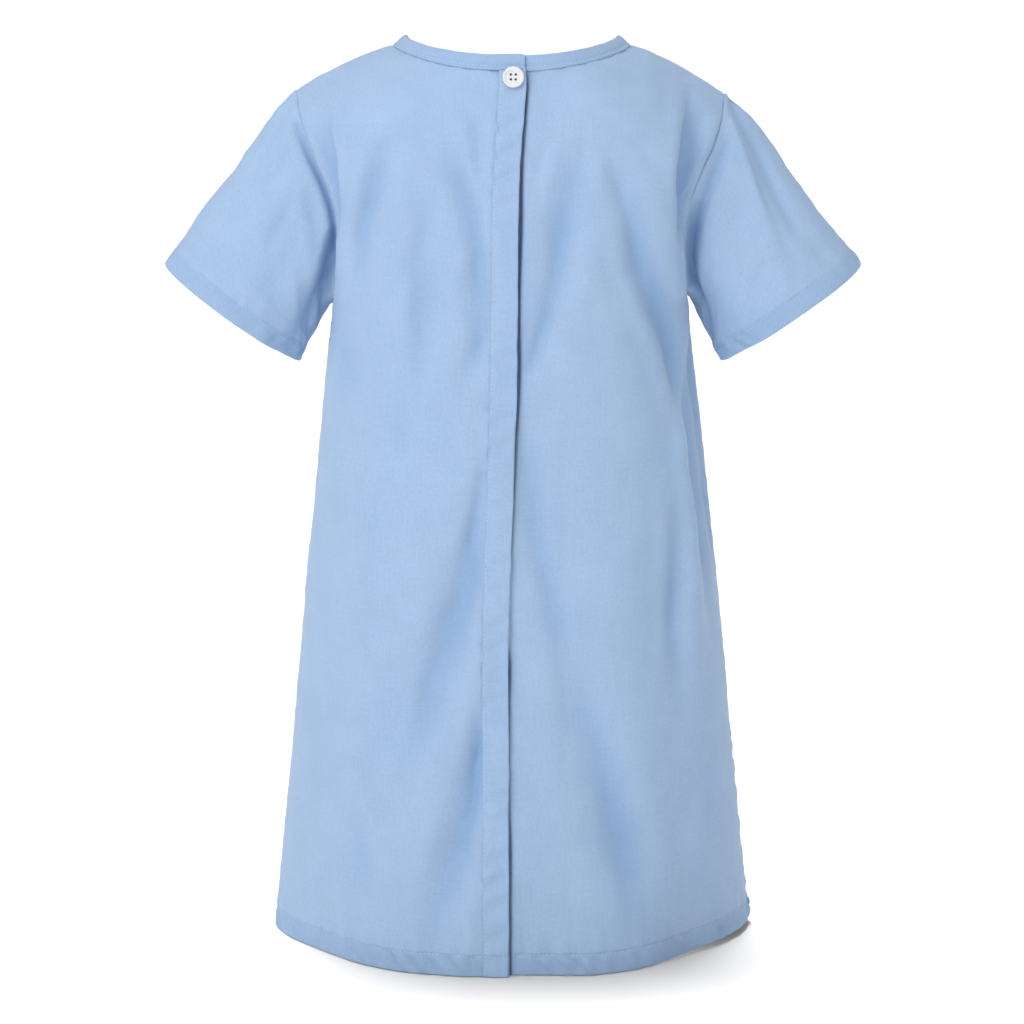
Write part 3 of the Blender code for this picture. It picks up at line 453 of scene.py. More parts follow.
LEFT_TUCKS = (
    Tuck(0.45, 0.08, 4.4, 0.4, 2.8, 6.0),
    Tuck(0.21, 0.01, 4.0, 9.0, 8.0, 7.5),
    Tuck(0.31, 0.18, 15.0, 17.0, 5.0, 2.2),
    Tuck(0.60, 0.88, 8.0, 11.0, 5.0, 2.4),
)


# ---- curves --------------------------------------------------------------------------------
def read(table: tuple, key: str, column: str, at: float | np.ndarray) -> np.ndarray:
    """Reads a column on the smooth curve through a table's rows.

    Args:
        table: rows in the order of their key.
        key: the column that says where a row is.
        column: the column that is wanted.
        at: one or many keys.

    Returns:
        The column's value at each key.
    """
    keys = np.array([getattr(row, key) for row in table], float)
    values = np.array([getattr(row, column) for row in table], float)
    slopes = np.gradient(values, keys)
    at = np.clip(at, keys[0], keys[-1])
    low = np.clip(np.searchsorted(keys, at, side="right") - 1, 0, len(keys) - 2)
    span = keys[low + 1] - keys[low]
    t = (at - keys[low]) / span
    start = (1 + 2 * t) * (1 - t) ** 2 * values[low] + t * (1 - t) ** 2 * span * slopes[low]
    end = t * t * (3 - 2 * t) * values[low + 1] - t * t * (1 - t) * span * slopes[low + 1]
    return start + end


def smooth(t: np.ndarray | float) -> np.ndarray:
    """Goes softly from 0 to 1 as t does."""
    t = np.clip(t, 0.0, 1.0)
    return t * t * (3 - 2 * t)


def bell(distance: np.ndarray, width: float | np.ndarray) -> np.ndarray:
    """1 at distance 0, falling softly to almost nothing at twice the width."""
    return np.exp(-((distance / width) ** 2))


def unit(vectors: np.ndarray) -> np.ndarray:
    """The vectors at length 1."""
    return vectors / np.maximum(np.linalg.norm(vectors, axis=-1, keepdims=True), 1e-12)


def travelled(points: np.ndarray) -> np.ndarray:
    """The length of a line of points up to each of them."""
    steps = np.linalg.norm(np.diff(points, axis=0), axis=-1)
    return np.concatenate([np.zeros_like(steps[:1]), np.cumsum(steps, axis=0)])


def at_lengths(points: np.ndarray, wanted: np.ndarray) -> np.ndarray:
    """Points on a fine line at the wanted lengths along it."""
    length = travelled(points)
    return np.stack([np.interp(wanted, length, points[:, axis]) for axis in range(3)], axis=1)


def placket_edge(drop: float | np.ndarray) -> np.ndarray:
    """Where the placket's folded edge lies across the back."""
    return read(PLACKET_EDGE, "drop", "x", drop)


@dataclass(frozen=True)
class Waves:
    """A kind of soft uneven waves over the cloth.

    Attributes:
        shortest: shortest wavelength, in millimetres.
        longest: longest wavelength.
        high: about half of the height of the highest ones.
        upright: above 1 the waves are drawn out along the second coordinate.
        one_way: whether they all run along the first coordinate.
    """

    shortest: float
    longest: float
    high: float = 1.0
    upright: float = 1.0
    one_way: bool = False

    def at(self, seed: int, x: np.ndarray, y: np.ndarray | float = 0.0) -> np.ndarray:
        """Their height at places on the cloth, the same on every run.

        Args:
            seed: chooses the pattern.
            x: the places' first coordinates.
            y: the places' second coordinates.

        Returns:
            The height at each place.
        """
        chance = np.random.default_rng(seed)
        length = self.shortest * (self.longest / self.shortest) ** chance.random(WAVE_COUNT)
        angle = chance.random(WAVE_COUNT) * (0.0 if self.one_way else 2 * math.pi)
        across = 2 * math.pi * np.cos(angle) / length
        down = 2 * math.pi * np.sin(angle) / length / self.upright
        phase = chance.random(WAVE_COUNT) * 2 * math.pi
        size = (length / self.longest) ** 0.7  # long waves are higher than short ones
        size /= math.sqrt(float((size**2).sum()) / 2)
        total = np.zeros_like(np.asarray(x, float) + y)
        for wave in zip(across, down, phase, size):
            total += wave[3] * np.sin(wave[0] * x + wave[1] * y + wave[2])
        return self.high * total


# ---- kinds of waves: shortest, longest, height and how much they are drawn out --------------
BACK_BENDS, FRONT_BENDS = Waves(30, 90, 0.8), Waves(30, 90, 1.2)  # of the creases' lines
BACK_SLACK, FRONT_SLACK = Waves(24, 80, 0.28, 1.8), Waves(24, 80, 0.3, 1.8)
BODY_RIPPLE, SLEEVE_RIPPLE = Waves(9, 22, 0.1, 1.5), Waves(8, 20, 0.1)
SLEEVE_SLACK = Waves(20, 60, 0.3)
SIDE_PUCKERS, ARMHOLE_PUCKERS = Waves(9, 26, one_way=True), Waves(8, 22)
SEAM_PUCKERS = Waves(9, 24)
NECK_GATHERS = Waves(7, 20, 0.28, one_way=True)
BACK_ROPES, FRONT_ROPES = Waves(8, 15, one_way=True), Waves(9, 17, one_way=True)
CUFF_ROPES = Waves(8, 18, one_way=True)
PLACKET_PUCKERS = Waves(8, 20, 0.45, one_way=True)
STRIP_WANDER, STRIP_RIPPLE = Waves(18, 60, 0.22), Waves(12, 19, 0.8, one_way=True)
STRIP_PUCKERS = Waves(7, 16, 0.16, one_way=True)
BINDING_RISE, BINDING_SWELL = Waves(9, 45, 0.14), Waves(8, 30, 0.07)


# ---- sheets of cloth -----------------------------------------------------------------------
@dataclass
class Sheet:
    """The outer face of a piece of cloth.

    Attributes:
        points: its points, in millimetres, in the gown's frame.
        quads: four point numbers for each face, turning outwards.
        uv: for each corner of each face, the way across and along the cloth, in metres.
        thickness: of the cloth at each point.
        open_rim: 1 where an edge is free and rounded, and 0 where it is sewn into a seam.
        layers: 1 where the cloth is turned up, and 0 where it is single.
        painted_shade: 1 deep in a fold, and 0 outside folds; how much shade is painted into the
            colour there.
    """

    points: np.ndarray
    quads: np.ndarray
    uv: np.ndarray
    thickness: np.ndarray = field(init=False)
    open_rim: np.ndarray = field(init=False)
    layers: np.ndarray = field(init=False)
    painted_shade: np.ndarray = field(init=False)
    facing: np.ndarray | None = None

    def __post_init__(self) -> None:
        """Starts as one layer with every edge free."""
        self.thickness = np.full(len(self.points), CLOTH)
        self.open_rim = np.ones(len(self.points))
        self.layers = np.zeros(len(self.points))
        self.painted_shade = np.zeros(len(self.points))

    def sink(self, height: np.ndarray) -> None:
        """Paints shade into the colour deep in folds: sets how much each point gets, given how high
        the folds raise it.
        """
        self.painted_shade = smooth(-height.ravel() / PAINTED_SHADE_DEPTH)

    def turn_up(self, where: np.ndarray, thickness: float) -> None:
        """Gives the places where the cloth is turned up their thickness."""
        self.thickness[where] = thickness
        self.layers[where] = 1.0

    def normals(self) -> np.ndarray:
        """Works out the points' normals from the faces around them.

        Returns:
            A unit vector for each point.
        """
        corners = self.points[self.quads]
        across = np.cross(corners[:, 2] - corners[:, 0], corners[:, 3] - corners[:, 1])
        total = np.zeros_like(self.points)
        for corner in range(4):
            for axis in range(3):
                total[:, axis] += np.bincount(
                    self.quads[:, corner], weights=across[:, axis], minlength=len(total)
                )
        return unit(total)

    def rim(self) -> tuple[np.ndarray, np.ndarray]:
        """Finds the edges that only one face uses.

        Returns:
            Their pairs of points, and each one's face.
        """
        edges = np.concatenate([self.quads[:, [i, (i + 1) % 4]] for i in range(4)])
        owner = np.tile(np.arange(len(self.quads)), 4)
        _, first, uses = np.unique(
            np.sort(edges, axis=1), axis=0, return_index=True, return_counts=True
        )
        only = first[uses == 1]
        return edges[only], owner[only]

    def raise_by(self, height: np.ndarray) -> None:
        """Moves each point outwards along its normal by a height."""
        normals = self.normals() if self.facing is None else self.facing
        self.points = self.points + normals * np.asarray(height).reshape(-1, 1)

    def cut(self) -> float:
        """The area of the outer face, in square metres."""
        a, b, c, d = (self.points[self.quads[:, i]] for i in range(4))
        return float(np.linalg.norm(np.cross(c - a, d - b), axis=1).sum() / 2 * MM * MM)

    def build(self, name: str, finish: bpy.types.Material) -> bpy.types.Object:
        """Makes the closed thin shell: outer face, inner face and rounded rim.

        Args:
            name: the object's name.
            finish: its material.

        Returns:
            The object, at the origin with its place in its mesh.
        """
        normals = self.normals() if self.facing is None else self.facing
        inner = self.points - normals * self.thickness[:, None]
        edges, owner = self.rim()
        ring = np.unique(edges)
        outwards = np.zeros_like(self.points)
        centre = self.points[self.quads[owner]].mean(axis=1)
        along = unit(self.points[edges[:, 1]] - self.points[edges[:, 0]])
        away = self.points[edges].mean(axis=1) - centre
        away = unit(away - along * (away * along).sum(axis=1, keepdims=True))
        for end in range(2):
            np.add.at(outwards, edges[:, end], away)
        outwards = unit(outwards[ring]) * (self.thickness / 2 * self.open_rim)[ring, None]
        middle, half = (self.points[ring] + inner[ring]) / 2, (self.points[ring] - inner[ring]) / 2
        layers = [
            middle + half * math.cos(turn) + outwards * math.sin(turn)
            for turn in (math.pi / 4, math.pi / 2, 3 * math.pi / 4)
        ]
        count = len(self.points)
        number = np.zeros(count, int)
        number[ring] = np.arange(len(ring))
        chain = [edges] + [number[edges] + 2 * count + k * len(ring) for k in range(3)]
        chain.append(edges + count)
        faces, uvs = [self.quads, self.quads[:, ::-1] + count], [self.uv, self.uv[:, ::-1]]
        flat_uv = np.zeros((count, 2))
        flat_uv[self.quads.ravel()] = self.uv.reshape(-1, 2)
        for upper, lower in zip(chain, chain[1:]):
            faces.append(np.stack([upper[:, 1], upper[:, 0], lower[:, 0], lower[:, 1]], axis=1))
            uvs.append(flat_uv[edges[:, [1, 0, 0, 1]]])
        return make_object(
            name,
            np.concatenate([self.points, inner, *layers]) * MM,
            np.concatenate(faces),
            finish,
            np.concatenate(uvs),
            # marks for the material: turned layers, and the shade painted deep in folds
            {
                name: np.concatenate([values, values, *[values[ring]] * len(layers)])
                for name, values in ((LAYERS, self.layers), (PAINTED_SHADE, self.painted_shade))
            },
        )


def make_object(
    name: str,
    points: np.ndarray,
    faces: np.ndarray,
    finish: bpy.types.Material,
    uv: np.ndarray | None = None,
    marks: dict[str, np.ndarray] | None = None,
) -> bpy.types.Object:
    """Makes a smooth-shaded object.

    Args:
        name: the object's name.
        points: its points, in metres.
        faces: point numbers, as many for each face.
        finish: its material.
        uv: for each corner of each face, its place on the cloth.
        marks: values for each point, by the attribute's name.

    Returns:
        The object, linked to the scene.
    """
    mesh = bpy.data.meshes.new(name)
    mesh.from_pydata(points.tolist(), [], faces.tolist())
    if uv is not None:
        layer = mesh.uv_layers.new(name="cloth")
        layer.data.foreach_set("uv", uv.astype(np.float32).ravel())
    for mark, values in (marks or {}).items():
        on_points = mesh.attributes.new(name=mark, type="FLOAT", domain="POINT")
        on_points.data.foreach_set("value", values.astype(np.float32))
    mesh.shade_smooth()
    mesh.materials.append(finish)
    obj = bpy.data.objects.new(name, mesh)
    bpy.context.scene.collection.objects.link(obj)
    return obj


def grid_quads(
    rows: int, columns: int, wraps: bool = False, turned: bool = False
) -> tuple[np.ndarray, np.ndarray]:
    """The faces of a grid of points.

    Args:
        rows: rows of points.
        columns: columns of points.
        wraps: whether the last column is joined to the first.
        turned: whether the faces turn the other way.

    Returns:
        The row and the column of each face's four corners. On a grid that wraps, a column may
        equal `columns`.
    """
    across = columns if wraps else columns - 1
    r, c = (part.reshape(-1, 1) for part in np.mgrid[0 : rows - 1, 0:across])
    r, c = r + np.array([0, 0, 1, 1]), c + np.array([0, 1, 1, 0])
    return (r[:, ::-1], c[:, ::-1]) if turned else (r, c)


# ---- the form of the body ------------------------------------------------------------------
@dataclass(frozen=True)
class Spacing:
    """How the columns of a half are spread: near its inner end, near its seam and between."""

    inner: tuple[float, ...]
    even: int

    def along(self, length: float) -> np.ndarray:
        """Lengths along a row at which its columns lie."""
        between = np.linspace(self.inner[-1], length - SEAM_STEPS[-1], self.even + 1)[1:-1]
        return np.concatenate([self.inner, between, length - np.array(SEAM_STEPS[::-1])])


@dataclass(frozen=True)
class Half:
    """Half of the back or front: its tables and where it ends near the middle."""

    side: Side
    facing: Facing
    middle: tuple[Depth, ...]
    armhole: tuple[Arm, ...]
    neck: Neckline
    edge: Callable[[float], float]
    lap: float
    spacing: Spacing

    def neckline(self) -> np.ndarray:
        """Draws the neckline from its inner end to the shoulder.

        Returns:
            A fine line of x, depth, drop.
        """
        neck = self.neck
        turn = np.linspace(0.0, math.pi / 2, FINE)
        x = neck.flat + (NECK_HALF_WIDTH - neck.flat) * np.sin(turn)
        rise = np.maximum(np.cos(turn), 0.0)
        curved = np.stack([x, neck.depth * rise, neck.drop * rise**NECKLINE_ROUND], axis=1)
        start = float(self.edge(neck.drop))
        if start >= neck.flat:
            return curved
        flat_x = np.linspace(start, neck.flat, FINE // 4, endpoint=False)
        level = np.ones_like(flat_x)
        return np.concatenate(
            [np.stack([flat_x, neck.depth * level, neck.drop * level], axis=1), curved]
        )

    def row(
        self, arm: Arm, end: np.ndarray, flat: float, to_shoulder: float, lean: float
    ) -> np.ndarray:
        """One row from its inner end out to the side.

        Args:
            arm: where it ends at the side, and its swell and squareness.
            end: its inner end, as x, depth, drop.
            flat: how far out the row is flat.
            to_shoulder: 0 below the neckline, reaching 1 at the shoulder seam.
            lean: how late the row falls from the neck's height to the arm's.

        Returns:
            The row's points as x, depth, drop.
        """
        end_x, end_depth, end_drop = (float(v) for v in end)
        flat_x = max(flat, end_x)
        turn = np.linspace(0.0, math.pi / 2, FINE)
        out = np.maximum(np.cos(turn), 0.0) ** (2 / arm.squareness)
        back = np.maximum(np.sin(turn), 0.0) ** (2 / arm.squareness)
        swell = arm.swell * np.sin(math.pi * np.sqrt(turn / (math.pi / 2)))
        x = flat_x + (arm.x - flat_x) * out + swell
        if end_x < flat_x:
            more = np.linspace(flat_x, end_x, FINE // 4)[1:]
            x = np.concatenate([x, more])
            back = np.concatenate([back, np.ones_like(more)])
        fall = np.clip((x - end_x) / (arm.x - end_x), 0.0, 1.0) ** lean
        drop = end_drop + (arm.drop - end_drop) * fall
        deeper = read(self.middle, "drop", "depth", drop)
        deeper = deeper - read(self.middle, "drop", "depth", end_drop)
        full = end_depth + deeper * (1 - to_shoulder)
        depth = arm.depth + (full - arm.depth) * back
        lapped = 1 - smooth((x - LAP_FADE[0]) / (LAP_FADE[1] - LAP_FADE[0]))
        line = np.stack([x, depth + self.lap * lapped, drop], axis=1)[::-1]
        return at_lengths(line, self.spacing.along(float(travelled(line)[-1])))

    def rows(self) -> np.ndarray:
        """Works out all rows from the hem to the shoulder seam.

        Returns:
            For each row and column, its x, depth and drop.
        """
        rows = []
        for drop in body_drops():
            width, square, flat = (
                float(read(RINGS, "drop", name, drop))
                for name in ("half_width", "squareness", "flat")
            )
            end = np.array([self.edge(drop), read(self.middle, "drop", "depth", drop), drop])
            side = Arm(0.0, width, 0.0, drop, 0.0, square)
            rows.append(self.row(side, end, self.neck.flat + flat, 0.0, 1.0))
        neckline = self.neckline()
        ends = at_lengths(neckline, neck_shares() * travelled(neckline)[-1])
        for step in range(1, YOKE_STEPS + len(ends) + 1):
            if step <= YOKE_STEPS:
                up, to_shoulder = step / YOKE_STEPS, 0.0
                share = ARMHOLE_AT_NECK * up
                drop = UNDERARM_DROP + (self.neck.drop - UNDERARM_DROP) * up
                depth = read(self.middle, "drop", "depth", drop)
                end = np.array([self.edge(drop), depth, drop])
                flat = self.neck.flat + RINGS[0].flat * (1 - up)
            else:
                to_shoulder = float(neck_shares()[step - YOKE_STEPS - 1])
                share = ARMHOLE_AT_NECK + (1 - ARMHOLE_AT_NECK) * to_shoulder
                end, flat = ends[step - YOKE_STEPS - 1], self.neck.flat
            arm = arm_at(self.armhole, share)
            lean = YOKE_LEAN + (SHOULDER_LEAN - YOKE_LEAN) * to_shoulder
            rows.append(self.row(arm, end, flat, to_shoulder**2, lean))
        return self.eased(np.array(rows))

    @staticmethod
    def eased(rows: np.ndarray) -> np.ndarray:
        """Smooths the turn at the underarm, where the rows change from rings to the yoke.

        Args:
            rows: the rows from the hem to the shoulder seam.

        Returns:
            The same rows, smoothed.
        """
        soft = rows.copy()
        for _ in range(EASE_TIMES):
            soft[1:-1] = (soft[:-2] + 2 * soft[1:-1] + soft[2:]) / 4
        place = np.arange(len(rows)) - (len(body_drops()) - 1)
        share = bell(place, EASE_ROWS)[:, None]
        from_side = np.linalg.norm(rows - rows[:, -1:], axis=2)
        return rows + (soft - rows) * (share * smooth(from_side / SEAM_STEPS[-1]))[..., None]

    def to_frame(self, rows: np.ndarray) -> np.ndarray:
        """Turns x, depth, drop into places in the gown's frame."""
        x, depth, drop = rows[..., 0], rows[..., 1], rows[..., 2]
        return np.stack([x * self.side.value, depth * self.facing.value, -drop], axis=-1)


def arm_at(table: tuple[Arm, ...], share: float) -> Arm:
    """The armhole table's row at a share of the way from the underarm to the shoulder."""
    names = ("x", "depth", "drop", "swell", "squareness")
    return Arm(share, *(float(read(table, "share", name, share)) for name in names))


def body_drops() -> np.ndarray:
    """The drops of the rows from the hem to the underarm."""
    even = np.linspace(LENGTH - HEM_LINES[-1], UNDERARM_DROP, BODY_STEPS + 1)[1:]
    return np.concatenate([LENGTH - np.array(HEM_LINES), even])


def neck_shares() -> np.ndarray:
    """Spreads the rows that end at the neckline, with close ones at the shoulder seam.

    Returns:
        How far each row is towards the shoulder.
    """
    close = 1 - np.array(SEAM_STEPS[::-1]) / NECKLINE_LENGTH
    even = np.linspace(0.0, close[0], NECK_STEPS + 1)[1:-1]
    return np.concatenate([even, close])


def pushed(points: np.ndarray) -> np.ndarray:
    """Moves points as PUSHES says, so that points that coincide stay together.

    Args:
        points: places in the gown's frame.

    Returns:
        The moved places.
    """
    moved = points.copy()
    for push in PUSHES:
        apart = np.hypot(points[..., 0] - push.x, points[..., 2] + push.drop)
        share = bell(apart, push.reach)
        moved[..., 0] += share * push.out * np.sign(push.x)
        moved[..., 2] += share * push.up
    return moved


def fold_height(
    folds: tuple[Fold, ...], x: np.ndarray, drop: np.ndarray, fine: bool = False
) -> np.ndarray:
    """How high the folds raise the cloth at each place, which is below zero in a trough.

    Args:
        folds: the folds.
        x: places across the gown.
        drop: the same places' drops.
        fine: whether they are the finer folds, whose ends are softer.

    Returns:
        Heights in millimetres.
    """
    total = np.zeros_like(x)
    t = np.linspace(0.0, 1.0, FOLD_POINTS)
    for fold in folds:
        bend_x = 2 * fold.mid_x - (fold.x + fold.end_x) / 2
        bend_drop = 2 * fold.mid_drop - (fold.drop + fold.end_drop) / 2
        line_x = (1 - t) ** 2 * fold.x + 2 * t * (1 - t) * bend_x + t**2 * fold.end_x
        line_drop = (1 - t) ** 2 * fold.drop + 2 * t * (1 - t) * bend_drop + t**2 * fold.end_drop
        reach = 4 * fold.width * max(fold.skew, 1.0)
        near = np.flatnonzero(
            (x > line_x.min() - reach)
            & (x < line_x.max() + reach)
            & (drop > line_drop.min() - reach)
            & (drop < line_drop.max() + reach)
        )
        apart = np.hypot(x[near, None] - line_x, drop[near, None] - line_drop)
        nearest = apart.argmin(axis=1)
        slope_x, slope_drop = np.gradient(line_x)[nearest], np.gradient(line_drop)[nearest]
        off_x, off_drop = x[near] - line_x[nearest], drop[near] - line_drop[nearest]
        past = (off_x * slope_x + off_drop * slope_drop) / (slope_x**2 + slope_drop**2)
        along = np.clip((nearest + past) / (FOLD_POINTS - 1), 0.0, 1.0)
        past = along * (FOLD_POINTS - 1) - nearest
        distance = np.hypot(off_x - past * slope_x, off_drop - past * slope_drop)
        side = off_x * slope_drop - off_drop * slope_x
        runs_off = fold.end_drop > LENGTH
        taper = np.sin(math.pi * along * (0.5 if runs_off else 1.0))
        taper = np.maximum(taper, 0.0) ** (CREASE_TAPER if fine else FOLD_TAPER)
        beside = np.where(side > 0, fold.beside[0], fold.beside[1])
        wide = np.where(side > 0, fold.width, fold.width * fold.skew)
        shape = -bell(distance, wide) + beside * bell(distance - 2 * wide, wide)
        total[near] += fold.depth * taper * shape
    return total


class Panel:
    """The back's or front's sheet, made of one half or of two halves joined in the middle."""

    def __init__(self, *halves: Half) -> None:
        """Works out the rows and joins the halves.

        Args:
            halves: one half, or the right and left halves of a whole panel.
        """
        self.halves = halves
        self.grids = [half.rows() for half in halves]
        self.row_count, self.column_count = self.grids[0].shape[:2]
        self.split_row = len(body_drops()) + YOKE_STEPS  # rows from here on end at the neckline
        size = self.row_count * self.column_count
        places, corners, uvs = [], [], []
        for order, (half, rows) in enumerate(zip(halves, self.grids)):
            place = half.to_frame(rows)
            across = travelled(rows.transpose(1, 0, 2)).T + rows[:, :1, 0]
            along = travelled(rows)
            uv = np.stack([across * half.side.value, along], axis=-1) * MM
            turned = half.side.value * half.facing.value > 0
            r, c = grid_quads(self.row_count, self.column_count, turned=turned)
            number = r * self.column_count + c + order * size
            if order:
                number = np.where((c == 0) & (r < self.split_row), number - size, number)
            places.append(place.reshape(-1, 3))
            corners.append(number)
            uvs.append(uv[r, c])
        points = pushed(np.concatenate(places))
        self.used, quads = np.unique(np.concatenate(corners), return_inverse=True)
        self.sheet = Sheet(points[self.used], quads.reshape(-1, 4), np.concatenate(uvs))

    def per_point(self, grids: list[np.ndarray]) -> np.ndarray:
        """Turns a value for each row and column of each half into one for each point."""
        return np.concatenate([grid.ravel() for grid in grids])[self.used]

    def in_line(self, places: list[tuple[int, int]]) -> np.ndarray:
        """The numbers of the sheet's points on a line that is the same in each half.

        Args:
            places: the rows and columns of the line's points, outwards from the middle.

        Returns:
            The points' numbers, from the left to the right of the panel.
        """
        parts = []
        for order in range(len(self.halves)):
            numbers = []
            for row, column in places:
                shared = column == 0 and row < self.split_row
                half = (0 if shared else order) * self.row_count
                full = (half + row) * self.column_count + column
                numbers.append(int(np.searchsorted(self.used, full)))
            parts.append(numbers)
        if len(parts) == 2:
            return np.array(parts[1][::-1] + parts[0][1:])
        return np.array(parts[0] if self.halves[0].side is Side.RIGHT else parts[0][::-1])

    def hem_stitches(self) -> np.ndarray:
        """The numbers of the points on the hem's line of stitches, from left to right."""
        return self.in_line([(HEM_STITCH_LINE, column) for column in range(self.column_count)])

    def neckline(self) -> np.ndarray:
        """The numbers of the points on the neckline, from left to right."""
        return self.in_line([(row, 0) for row in range(self.split_row - 1, self.row_count)])

    def from_side(self) -> np.ndarray:
        """Each point's distance from the side seam or armhole."""
        return self.per_point([np.linalg.norm(g - g[:, -1:], axis=2) for g in self.grids])

    def from_top(self) -> np.ndarray:
        """Each point's distance from the shoulder seam."""
        return self.per_point([np.linalg.norm(g - g[-1:], axis=2) for g in self.grids])

    def from_neck(self) -> np.ndarray:
        """Measures from the neckline.

        Returns:
            Each point's distance.
        """
        found = []
        for grid in self.grids:
            neckline = grid[self.split_row - 1 :, 0][::2]
            apart = grid[:, :, None] - neckline[None, None]
            found.append(np.sqrt((apart**2).sum(axis=3).min(axis=2)))
        return self.per_point(found)

    def from_hem(self) -> np.ndarray:
        """Each point's height above the hem."""
        return self.per_point([LENGTH - g[..., 2] for g in self.grids])

    def across(self) -> np.ndarray:
        """Each point's length across the cloth from the middle."""
        return self.per_point(
            [
                (travelled(g.transpose(1, 0, 2)).T + g[:, :1, 0]) * half.side.value
                for half, g in zip(self.halves, self.grids)
            ]
        )

    def calm(self) -> np.ndarray:
        """Finds where the largest folds die out.

        Returns:
            For each point, 1 on seams, neckline and placket, and 0 away from them.
        """
        found = []
        for half, g in zip(self.halves, self.grids):
            from_side = np.linalg.norm(g - g[:, -1:], axis=2)
            from_top = np.linalg.norm(g - g[-1:], axis=2)
            near_seam = 1 - smooth(np.minimum(from_side, from_top) / FOLD_FADE)
            from_neck = np.abs(g[..., 2] - half.neck.drop)
            near_neck = (1 - smooth(from_neck / FOLD_FADE)) * (g[..., 0] < NECK_HALF_WIDTH)
            calm = np.maximum(near_seam, near_neck)
            if half.facing is Facing.BACK:
                placket = 1 - smooth((g[..., 0] - PLACKET_CALM) / FOLD_FADE)
                calm = np.maximum(calm, placket)
            found.append(calm)
        return self.per_point(found)


# ---- relief beside seams and hems ----------------------------------------------------------
@dataclass(frozen=True)
class Seam:
    """How cloth lies beside a seam: the groove in it, and the puckers that run away from it."""

    groove: float = 0.75
    groove_width: float = 0.85
    ridge: float = 0.2
    ridge_at: float = 2.6
    pucker: float = 0.22
    pucker_reach: float = 9.0

    def height(self, distance: np.ndarray, puckers: np.ndarray) -> np.ndarray:
        """Works out how high the cloth lies beside the seam.

        Args:
            distance: from the seam.
            puckers: how high the puckers are there.

        Returns:
            The height at each place.
        """
        near = -self.groove * bell(distance, self.groove_width)
        near += self.ridge * bell(distance - self.ridge_at, self.ridge_at * 0.6)
        return near + self.pucker * puckers * np.exp(-distance / self.pucker_reach)


@dataclass(frozen=True)
class Hem:
    """A turned and topstitched hem: its stitch line, and the slanting ropes that pull at it."""

    stitch_line: float
    dent: float
    rope: float
    above: float  # how high the pulls above the stitches are
    above_reach: float
    dent_width: float = 0.8
    slant: float = 0.7  # how far a rope leans as it goes up
    rope_spread: float = 0.42  # of the stitch line's height
    pull_pace: float = 0.8  # the pulls are longer than the ropes by this
    pull_start: float = 40.0

    def height(self, up: np.ndarray, along: np.ndarray, waves: Waves, seed: int) -> np.ndarray:
        """How high the hem's stitches and ropes raise the cloth.

        Args:
            up: heights above the hem's edge.
            along: places along it.
            waves: the kind of its ropes.
            seed: chooses their pattern.

        Returns:
            The height at each place.
        """
        spread = bell(up - self.stitch_line / 2, self.stitch_line * self.rope_spread)
        ropes = waves.at(seed, along + self.slant * up) * spread
        over = np.maximum(up - self.stitch_line, 0.0)
        pull = waves.at(seed, along * self.pull_pace + self.pull_start)
        pull = pull * np.exp(-over / self.above_reach)
        pull *= smooth((up - self.stitch_line + 1.0) / 2.0)
        dent = -self.dent * bell(up - self.stitch_line, self.dent_width)
        return dent + self.rope * ropes + self.above * pull


SIDE_SEAM = Seam(groove=0.7, ridge=0.15, pucker=0.34)
ARMHOLE_BODY_SEAM = Seam(groove=0.25, groove_width=0.6, ridge=0.12, pucker=0.18)
ARMHOLE_SLEEVE_SEAM = Seam(groove=0.25, groove_width=0.6, ridge=0.5, ridge_at=1.8, pucker=0.2)
SHOULDER_SEAM = Seam(groove=0.6, ridge=0.12, pucker=0.16)
UNDERARM_SEAM = Seam(groove=0.45, ridge=0.1, pucker=0.15)
BODY_HEM = Hem(HEM_LINES[HEM_STITCH_LINE], dent=0.35, rope=0.95, above=0.5, above_reach=12.0)
CUFF_HEM = Hem(11.8, dent=0.3, rope=0.32, above=0.3, above_reach=8.0)


def join_normals(sheets: dict[str, Sheet]) -> None:
    """Gives sheets whose edges meet the same normals there, so that their reliefs stay joined.

    Args:
        sheets: the sheets of the body and sleeves, by name.
    """
    found: dict[tuple[int, ...], list[tuple[str, int]]] = {}
    for name, sheet in sheets.items():
        sheet.facing = sheet.normals()
        for number in np.unique(sheet.rim()[0]):
            place = tuple(int(v) for v in np.round(sheet.points[number] / MEETING))
            found.setdefault(place, []).append((name, int(number)))
    for group in found.values():
        if len({name for name, _ in group}) < 2:
            continue
        both = unit(np.sum([sheets[name].facing[number] for name, number in group], axis=0))
        for name, number in group:
            sheets[name].facing[number] = both
            sheets[name].open_rim[number] = 0.0


